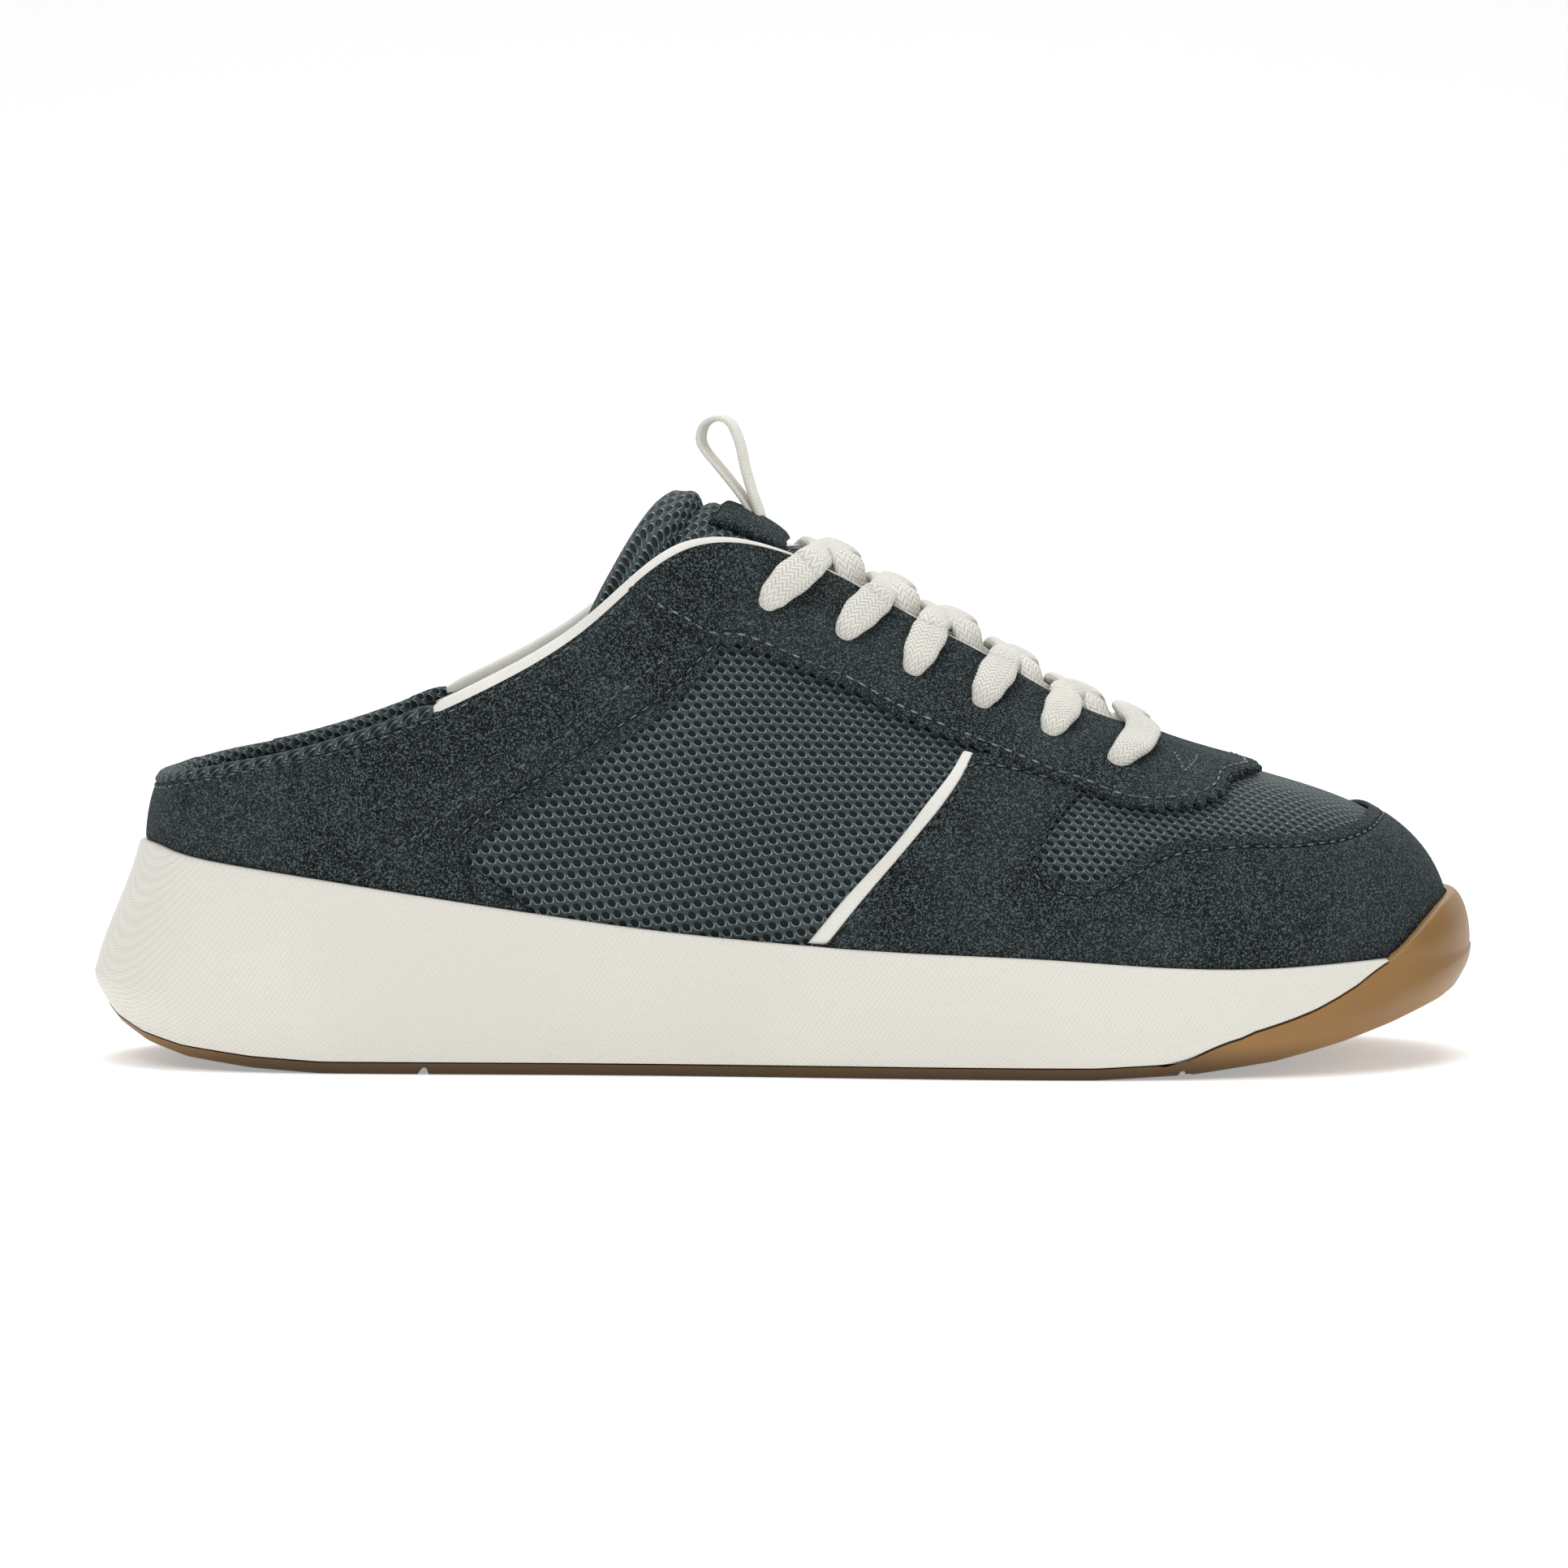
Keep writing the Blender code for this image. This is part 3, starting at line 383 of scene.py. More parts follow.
def lattice(points: Array, uv: Optional[Array] = None, facing: Optional[Array] = None) -> BMesh:
    """A sheet of faces, moved from a flat grid to the given points.

    Args:
        points: Rows of columns of points.
        uv: Flat coordinates of the same rows and columns, in metres.
        facing: Directions that the faces turn towards, of the same rows and columns.

    Returns:
        A bmesh whose doubles aren't merged yet.
    """
    rows, columns = points.shape[:2]
    work = bmesh.new()
    bmesh.ops.create_grid(work, x_segments=columns - 1, y_segments=rows - 1, size=0.5)
    index = {}
    for vertex in work.verts:
        r, c = round((vertex.co.y + 0.5) * (rows - 1)), round((vertex.co.x + 0.5) * (columns - 1))
        index[vertex] = (r, c)
    for vertex, (r, c) in index.items():
        vertex.co = points[r, c]
    if uv is not None:
        layer = work.loops.layers.uv.new("flat")
        for face in work.faces:
            for loop in face.loops:
                loop[layer].uv = uv[index[loop.vert]]
    if facing is not None:
        work.normal_update()
        agree = 0.0
        for face in list(work.faces)[::23]:
            r, c = index[face.verts[0]]
            agree += float(np.dot(face.normal, facing[r, c])) * face.calc_area()
        if agree < 0:
            bmesh.ops.reverse_faces(work, faces=work.faces)
    return work


def joined(parts: Sequence[BMesh]) -> BMesh:
    """One bmesh from several, which are used up."""
    whole = parts[0]
    for part in parts[1:]:
        held = bpy.data.meshes.new("held")
        part.to_mesh(held)
        part.free()
        whole.from_mesh(held)
        bpy.data.meshes.remove(held)
    return whole


def cleaned(work: BMesh, merge: float = MERGE, outwards: bool = True) -> BMesh:
    """The same bmesh with its doubles merged, its slivers gone and its faces turned outwards."""
    bmesh.ops.remove_doubles(work, verts=work.verts, dist=merge)
    bmesh.ops.dissolve_degenerate(work, edges=work.edges, dist=SLIVER)
    if outwards:
        bmesh.ops.recalc_face_normals(work, faces=work.faces)
    return work


def placed(name: str, work: BMesh, material: Material,
           nodes: Sequence[str] = (), merge: float = MERGE, sharp: float = 60.0) -> Object:
    """Turns a bmesh into a finished piece that rides on the shoe.

    Args:
        name: The piece's name.
        work: The bmesh, which is used up.
        material: Its material.
        nodes: CAD nodes that it stands for.
        merge: Distance within which points are merged, 0 for none.
        sharp: Angle in degrees past which an edge is kept sharp.

    Returns:
        The object.
    """
    if merge:
        cleaned(work, merge, outwards=False)
    mesh = bpy.data.meshes.new(name)
    work.to_mesh(mesh)
    work.free()
    mesh.shade_smooth()
    mesh.set_sharp_from_angle(angle=math.radians(sharp))
    mesh.materials.append(material)
    obj = bpy.data.objects.new(name, mesh)
    bpy.context.scene.collection.objects.link(obj)
    if nodes:
        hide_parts(*nodes)
    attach(obj, "root")
    log.info("%s: %d faces", name, len(mesh.polygons))
    return obj


def wrapped(sections: Array, uv: Optional[Array] = None) -> BMesh:
    """A closed solid through cross-sections, each a loop of points, closed at both ends.

    Args:
        sections: Sections of points. The first and last section are already a point or a line.
        uv: Flat coordinates of the same points, the loop's first point repeated at its end.

    Returns:
        The bmesh, with its faces outwards.
    """
    loops = np.concatenate([sections, sections[:, :1]], axis=1)
    if uv is not None and uv.shape[1] == sections.shape[1]:
        uv = np.concatenate([uv, uv[:, -1:]], axis=1)
    return cleaned(lattice(loops, uv))


def pad(front: Array, back: Array, uv: Optional[Array] = None) -> BMesh:
    """A closed pad between two sheets that share their borders.

    Args:
        front: Rows and columns of points of the face that shows.
        back: The same of the face behind.
        uv: Flat coordinates for both.

    Returns:
        The bmesh, with its faces outwards.
    """
    back = back.copy()
    back[0], back[-1], back[:, 0], back[:, -1] = front[0], front[-1], front[:, 0], front[:, -1]
    return cleaned(joined([lattice(front, uv), lattice(back, uv)]))


def turned(x: Array, y: Array, z: Array, at: Array) -> Matrix:
    """The matrix that takes the axes to x, y and z and the origin to a point."""
    matrix = np.eye(4)
    matrix[:3] = np.stack([x, y, z, at], axis=1)
    return Matrix(matrix.tolist())


def spread(points: Array) -> Array:
    """Flat coordinates that follow a sheet's own lengths, in metres."""
    rows = np.linalg.norm(np.diff(points, axis=0), axis=-1)
    columns = np.linalg.norm(np.diff(points, axis=1), axis=-1)
    v = np.concatenate([np.zeros((1, points.shape[1])), np.cumsum(rows, axis=0)])
    u = np.concatenate([[0.0], np.cumsum(columns.mean(axis=0))])
    return np.stack([np.broadcast_to(u, v.shape), v], axis=-1)


def draped_uv(points: Array) -> Array:
    """Flat coordinates for cloth on the last: along the shoe, and down from its ridge."""
    return np.stack([points[..., 0], 0.85 * (points[..., 2] - np.abs(points[..., 1]))], axis=-1)


@dataclass(frozen=True)
class Crease:
    """A soft trough or ridge across the upper."""

    start: tuple[float, float]
    end: tuple[float, float]
    width: float
    depth: float


CREASES = (
    Crease((.3450, .10), (.3560, .33), .0042, .00045),
    Crease((.3700, .06), (.3660, .30), .0050, .00040),
    Crease((.4000, .08), (.4080, .30), .0060, -.00035),
    Crease((.2700, .05), (.2950, .42), .0060, .00040),
    Crease((.1950, .86), (.2150, .98), .0050, .00035),
    Crease((.1050, .30), (.1450, .80), .0090, .00040),
    Crease((.0500, .25), (.0800, .75), .0080, .00040),
)


def relief(place: Array, climb: Array) -> Array:
    """How far the creases lift the upper's surface at each place and climb, on both sides."""
    side = side_place(place) * GIRTH
    lift = np.zeros(np.broadcast(side, climb).shape)
    for crease in CREASES:
        a, b = np.array([crease.start, crease.end]) * [GIRTH, WALL_HEIGHT]
        du, dv = side - a[0], climb * WALL_HEIGHT - a[1]
        run = b - a
        t = np.clip((du * run[0] + dv * run[1]) / (run @ run), 0, 1)
        far = np.hypot(du - t * run[0], dv - t * run[1])
        lift -= crease.depth * np.exp(-(far / crease.width) ** 2)
    return lift * np.clip(climb * 8, 0, 1) * np.clip((1 - climb) * 12, 0, 1)


def on_upper(place: Array, climb: Array, offset: Array = 0.0) -> Array:
    """Points on the creased upper, moved outwards by offset."""
    place, climb = np.broadcast_arrays(np.asarray(place, float), np.asarray(climb, float))
    return LAST.point(place, climb, offset + relief(place, climb))


@dataclass
class Sole:
    """The foam midsole and the gum outsole."""

    stations: int = 230
    across: int = 10
    groove_width: float = 0.0013
    groove_depth: float = 0.0014
    grooves: tuple[float, ...] = (.245, .781)
    climbs: tuple[float, ...] = (0, .05, .1, .17, .25, .35, .45, .55, .65, .75, .85, .93, .975)
    turn: tuple[tuple[float, ...], ...] = (
        (.0012, .0046, 0, 0), (.0004, .0024, .12, .20), (0, .0011, .4, .22),
    )

    def paired(self) -> tuple[Array, Array]:
        """Places from heel to toe on the outer side, and those that face them on the inner side."""
        fine = np.linspace(0, 0.5, 3001)
        outer_x = np.maximum.accumulate(LAST.outline(fine)[0][:, 0])
        inner_x = np.maximum.accumulate(LAST.outline(1 - fine)[0][:, 0])
        places = list(np.linspace(0, 0.5, self.stations))
        for share in self.grooves:
            for side in (-0.55, -0.5, 0.5, 0.55):
                x = LENGTH * (share - 0.5) + side * self.groove_width
                places.append(float(np.interp(x, outer_x, fine)))
        outer = np.array(sorted(places))
        x = np.interp(outer, fine, outer_x)
        inner = 1 - np.interp(x, inner_x, fine)
        inner[0], inner[-1] = 1.0, 0.5
        return outer, inner

    def loops(self, half: Callable[[Array], list[Array]]) -> Array:
        """Cross-sections from the rows of one side.

        Args:
            half: Gives the rows of points from the bottom to the middle's level, for some places.

        Returns:
            Sections, each a loop: up the outer side, across, down the inner side, back across.
        """
        outer, inner = self.paired()
        left, right = half(outer), half(inner)
        shares = np.linspace(0, 1, self.across + 2)[1:-1]
        over = [left[-1] * (1 - f) + right[-1] * f for f in shares]
        under = [right[0] * (1 - f) + left[0] * f for f in shares]
        return np.stack(left + over + right[::-1] + under, axis=1)

    def midsole_rows(self, places: Array) -> list[Array]:
        """Rows of the foam on one side: up its face, over the rim and down into the cup."""
        top, step = LAST.bumper(places)
        step = step + np.where(top > 0, GAP, 0)
        split = np.minimum(top, 1.0)
        above = np.where(split >= 1, step, 0.0)
        rows = [LAST.sole_side(places, np.minimum(c, split), step) for c in self.climbs]
        rows += [LAST.sole_side(places, np.maximum(c, split), above) for c in self.climbs]
        for climb, inset in ((.992, .0001), (.998, .0003), (1.0, .0008)):
            rows.append(LAST.sole_side(places, np.maximum(climb, split), above + inset))
        rows += [LAST.point(places, np.full_like(places, c), GAP) for c in (0.0, -0.5, -1.0)]
        rows[-1][:, 2] -= GAP
        return rows

    def outsole_rows(self, places: Array) -> list[Array]:
        """Rows of the rubber on one side: up the outside, over the toe's lip and back inside."""
        top, step = LAST.bumper(places)
        split = np.minimum(top, 1.0)
        gap = GAP * np.where((top > 0) & (top < 1), 2.0, 1.0)
        lower = np.stack([0 * top, 0 * top, gap], axis=-1)
        underside = LAST.underside(LAST.sole_side(places, 0.0)[:, 0])
        clear_of_ground = np.clip(underside / (0.25 * RIM), 0, 1)
        turn = []
        for inset, more_inset, rise, more_rise in self.turn:
            row = LAST.sole_side(places, 0.0, inset + more_inset * clear_of_ground)
            row[:, 2] = underside + (rise + more_rise * clear_of_ground) * OUTSOLE
            turn.append(row)
        climbs = [np.minimum(c, split) for c in self.climbs + (1.0,)]
        outer = [LAST.sole_side(places, c) - lower for c in climbs]
        inner = [LAST.sole_side(places, c, step) - lower for c in climbs]
        lip = HALF_WIDTH * LAST.sole["lip"](places)
        clear = LAYER + 2 * GAP
        reach = np.clip((top - 1.03) / 0.04, 0, 1)
        inside = clear + (lip - BUMPER - clear) * (1 - reach)
        crest = inside + BUMPER_LIP
        lifted = (top > 1.005)[:, None]
        over, under = [], []
        for f in (.15, .3, .45, .6, .72, .83, .92, .97, 1.0):
            bulge = crest + (lip - crest) * math.sqrt(1 - f * f)
            crown = LAST.point(places, np.maximum(top - 1, 1e-4) * f, bulge)
            over.append(np.where(lifted, crown, outer[-1]))
        rise = np.maximum(top - 1, 2e-3)
        for share, deep in ((1.0, 0.36), (1.0, 0.0), (0.5, 0.0), (0.05, 0.0)):
            offset = inside + (crest - inside) * deep
            under.append(np.where(lifted, LAST.point(places, rise * share, offset), inner[-1]))
        return turn + outer + over + under + inner[::-1]

    def outsole_loops(self) -> Array:
        """The rubber's sections, with the grooves pressed up into the ground face."""
        sections = self.loops(self.outsole_rows)
        for share in self.grooves:
            near = np.abs(sections[..., 0] - LENGTH * (share - 0.5)) < self.groove_width * 0.52
            low = sections[..., 2] < 0.6 * OUTSOLE
            sections[..., 2] += np.where(near & low, self.groove_depth, 0.0)
        return sections

    def build(self, foam: Material, gum: Material) -> None:
        """Builds and dresses both pieces."""
        midsole, outsole = wrapped(self.loops(self.midsole_rows)), wrapped(self.outsole_loops())
        placed("midsole_foam", midsole, foam, ["midsole"], sharp=50)
        placed("outsole_rubber", outsole, gum, ["outsole"], sharp=50)


@dataclass
class Shell:
    """The mesh upper: one wall, open at the collar, the throat and underneath."""

    columns: int = 360
    rows: int = 44

    def build(self, mesh: Material) -> None:
        """Builds and dresses the wall."""
        places = np.linspace(0, 1, self.columns + 1)
        climbs = np.concatenate([[-1.0, -0.5], np.linspace(0, 1, self.rows)])
        grid_p, grid_c = np.meshgrid(places, climbs)
        outer, inner = on_upper(grid_p, grid_c), on_upper(grid_p, grid_c, -WALL)
        inner_uv = np.stack([grid_p * 0.66, grid_c * 0.060], axis=-1)
        points = np.concatenate([outer, inner[::-1], outer[:1]])
        uv = np.concatenate([draped_uv(outer), inner_uv[::-1], draped_uv(outer[:1])])
        normals = LAST.normal(grid_p, grid_c)
        facing = np.concatenate([normals, -normals[::-1], outer[:1] * 0])
        placed("upper_mesh", lattice(points, uv, facing), mesh, ["upper"])


class Edge(Enum):
    """How a layer of suede ends."""

    PINKED = "pinked"
    FOLDED = "folded"
    TUCKED = "tucked"


@dataclass
class Layer:
    """A layer of suede on the upper between two borders."""

    name: str
    nodes: tuple[str, ...]
    pairs: tuple[tuple[float, ...], ...]
    lower: Edge
    upper: Edge
    through: float
    base: float = GAP
    thickness: float = LAYER
    spacing: float = 0.0011
    middle_rows: int = 14
    tooth: float = 0.0034
    bite: float = 0.0019
    meets_sole: bool = False

    def borders(self, pinked: bool = True) -> tuple[Array, Array]:
        """Both borders as (place, climb), sampled together on both sides of the shoe.

        Args:
            pinked: Whether the teeth of a pinked border are cut.

        Returns:
            The lower border and the upper one.
        """
        line = smooth_curve(np.array(self.pairs), 12)
        other = (line * [-1, 1, -1, 1] + [2 * self.through, 0, 2 * self.through, 0])[::-1]
        whole = np.concatenate([other, line[1:]] if self.through == 0 else [line, other[1:]])
        distance = along(LAST.bare(whole[:, 0], whole[:, 1]))
        far = along(LAST.bare(whole[:, 2], whole[:, 3]))
        distance = 0.85 * distance + 0.15 * far * distance[-1] / far[-1]
        count = int(distance[-1] / self.spacing)
        whole = at_distances(whole, distance, np.linspace(0, distance[-1], count))
        low, high = whole[:, :2], whole[:, 2:]
        if self.lower is Edge.PINKED and pinked:
            run = along(LAST.bare(low[:, 0], low[:, 1]))
            span = self.span(low, high)
            bite = self.bite * np.clip(span / 0.006 - 0.2, 0, 1)
            low = low + (high - low) * (bite * (saw(run / self.tooth) - 0.5) / span)[:, None]
        low[:, 1], high[:, 1] = np.minimum(low[:, 1], 1.0), np.minimum(high[:, 1], 1.0)
        return low, high

    def folded(self) -> Array:
        """Where the border is folded and stitched, and doesn't only meet the sole."""
        low, _ = self.borders()
        return (low[:, 1] > 0.03) if self.meets_sole else np.ones(len(low), bool)

    def span(self, low: Array, high: Array) -> Array:
        """Distance between the two borders at each pair."""
        apart = LAST.bare(low[:, 0], low[:, 1]) - LAST.bare(high[:, 0], high[:, 1])
        return np.maximum(np.linalg.norm(apart, axis=-1), 1e-4)

    def ending(self, edge: Edge, inside: Array) -> Array:
        """The layer's height near a border.

        Args:
            edge: How the border ends.
            inside: Distance from the border.

        Returns:
            Height over the layer's base.
        """
        radius = {Edge.PINKED: 0.0005, Edge.FOLDED: 0.0009, Edge.TUCKED: 0.0002}[edge]
        height = self.thickness * rounded(inside / radius)
        if edge is Edge.FOLDED:
            share = self.folded()
            fold = np.clip((0.0030 - inside) / 0.0008, 0, 1)
            height = height + share * 0.0008 * fold * np.clip(inside / radius, 0, 1)
            height = height - share * 0.0010 * np.exp(-((inside - 0.0033) / 0.00045) ** 2)
        if edge is Edge.PINKED:
            height = height - 0.00025 * np.exp(-((inside - 0.0022) / 0.0004) ** 2)
        return height

    def grid(self) -> tuple[Array, Array, Array]:
        """Places, climbs and heights over the base of the layer's rows and columns."""
        low, high = self.borders()
        span = self.span(low, high)
        near = np.array([0, .0001, .0003, .0006, .0010, .0016, .0022, .0026, .0030, .0034, .0039, .0046])
        low_s = np.minimum(near[:, None] / span, np.linspace(0, .44, len(near))[:, None])
        high_s = 1 - low_s[::-1]
        f = np.linspace(0, 1, self.middle_rows + 2)[1:-1, None]
        shares = np.concatenate([low_s, low_s[-1] * (1 - f) + high_s[0] * f, high_s])
        places = low[:, 0] * (1 - shares) + high[:, 0] * shares
        climbs = low[:, 1] * (1 - shares) + high[:, 1] * shares
        below, above = self.ending(self.lower, shares * span), self.ending(self.upper, (1 - shares) * span)
        return places, climbs, np.minimum(below, above)

    def line(self, inside: float, from_upper: bool = False) -> Array:
        """A line of (place, climb) that runs at a distance inside one border."""
        low, high = self.borders(pinked=False)
        if from_upper:
            low, high = high, low
        span = self.span(low, high)
        line = low + (high - low) * np.minimum(inside / span, 0.5)[:, None]
        return line[span > 2 * inside]

    def folded_lines(self, inside: float) -> list[Array]:
        """The two stretches of a lower line that run along the folded border."""
        low, high = self.borders()
        line = low + (high - low) * np.minimum(inside / self.span(low, high), 0.5)[:, None]
        first = np.arange(len(line)) < len(line) / 2
        return [line[self.folded() & half] for half in (first, ~first)]

    def build(self, suede: Material, finish: Finish = Finish.SUEDE) -> None:
        """Builds and dresses the layer."""
        places, climbs, height = self.grid()
        front = on_upper(places, climbs, self.base + height)
        back = on_upper(places, climbs, self.base - 0.0002)
        placed(self.name, pad(front, back, spread(front)), suede, self.nodes, sharp=75)


@dataclass
class Stitching:
    """Rows of short stitches on the layers."""

    length: float = 0.0020
    gap: float = 0.0011
    radius: float = 0.00026
    batch: int = 12

    def row(self, line: Array, offset: float) -> list[BMesh]:
        """A row of stitches.

        Args:
            line: (place, climb) of the row's way.
            offset: Height over the upper's face.

        Returns:
            One bmesh for each few stitches.
        """
        points = on_upper(line[:, 0], line[:, 1], offset)
        normals = LAST.normal(line[:, 0], np.minimum(line[:, 1], 1.0))
        distance = along(points)
        centres = np.arange(self.length, distance[-1] - self.length, self.length + self.gap)
        middle = at_distances(points, distance, centres)
        after, before = (at_distances(points, distance, centres + step) for step in (4e-4, -4e-4))
        ahead = unit(after - before)
        up = unit(at_distances(normals, distance, centres))
        side = unit(np.cross(up, ahead))
        up = np.cross(ahead, side)
        made: list[BMesh] = []
        for i, (p, x, y, z) in enumerate(zip(middle, ahead, side, up)):
            if i % self.batch == 0:
                made.append(bmesh.new())
            matrix = turned(x * self.length / 2, y * self.radius, z * self.radius, p)
            bmesh.ops.create_uvsphere(made[-1], u_segments=6, v_segments=5, radius=1, matrix=matrix)
        return made


def swept(path: Array, wide: Array, up: Array, profile: Array, scale: Array,
          closed: bool = False) -> BMesh:
    """A solid from one profile carried along a path.

    Args:
        path: Points of the path.
        wide: Unit directions across the path.
        up: Unit directions out of it.
        profile: Loop of (across, up) in metres.
        scale: (across, up) scale of the profile at each point.
        closed: Whether the path comes back to its start.

    Returns:
        The bmesh, its ends drawn together to a point unless the path is closed.
    """
    across = profile[None, :, :1] * scale[:, None, :1]
    height = profile[None, :, 1:] * scale[:, None, 1:]
    sections = path[:, None] + across * wide[:, None] + height * up[:, None]
    girth = along(np.concatenate([profile, profile[:1]]))
    run = along(path)
    if closed:
        sections = np.concatenate([sections, sections[:1]])
        run = np.append(run, run[-1] + np.linalg.norm(path[0] - path[-1]))
    else:
        point = np.zeros_like(sections[:1])
        sections = np.concatenate([point + path[0], sections, point + path[-1]])
        run = np.concatenate([run[:1], run, run[-1:]])
    uv = np.stack(np.broadcast_arrays(girth[None, :], run[:, None]), axis=-1)
    return wrapped(sections, uv)


def oval(width: float, height: float, count: int = 16, square: float = 2.6) -> Array:
    """A soft flat oval.

    Args:
        width: Its width.
        height: Its height.
        count: Points round it.
        square: 2 for an ellipse, more for squarer shoulders.

    Returns:
        Loop of (across, up).
    """
    angle = np.arange(count) / count * 2 * np.pi
    c, s = np.cos(angle), np.sin(angle)
    x = np.sign(c) * np.abs(c) ** (2 / square) * width / 2
    y = np.sign(s) * np.abs(s) ** (2 / square) * height / 2
    return np.stack([x, y], axis=-1)


@dataclass
class Piping:
    """A rolled edge over the upper's top edge."""

    name: str
    first: float
    last: float
    collar_height: float
    throat_height: float
    outside: float = 0.0020
    inside: float = 0.0026
    low: float = -0.0004
    square: float = 0.72
    nodes: tuple[str, ...] = ()
    sections_round: float = 460.8

    def build(self, cloth: Material, finish: Finish) -> None:
        """Builds and dresses the roll."""
        count = int((self.last - self.first) * self.sections_round)
        places = np.linspace(self.first, self.last, count)
        blend = np.clip((side_place(places) - 0.23) / 0.04, 0, 1)
        height = self.collar_height + (self.throat_height - self.collar_height) * blend
        swell = rounded(from_ends(count) / 4, 0.02)
        middle, half = (self.outside - self.inside) / 2, (self.outside + self.inside) / 2
        base, out = on_upper(places, 1.0), LAST.normal(places, 1.0)
        rise = unit(LAST.bare(places, 1.001) - LAST.bare(places, 1.0))
        sections = []
        for angle in np.linspace(0, 2 * np.pi, 15)[:-1]:
            c, s = math.cos(angle), math.sin(angle)
            across = math.copysign(abs(c) ** self.square, c) * half * swell + middle
            up = self.low if s < -0.2 else height * math.copysign(abs(s) ** self.square, s)
            up = up * swell
            sections.append(base + rise * np.maximum(up, self.low)[:, None] + out * across[:, None])
        loops = np.stack(sections, axis=1)
        centre = loops.mean(axis=1, keepdims=True)
        loops = np.concatenate([loops[:1] * 0 + centre[:1], loops, loops[:1] * 0 + centre[-1:]])
        uv = spread(np.concatenate([loops, loops[:, :1]], axis=1))
        placed(self.name, wrapped(loops, uv), cloth, self.nodes)


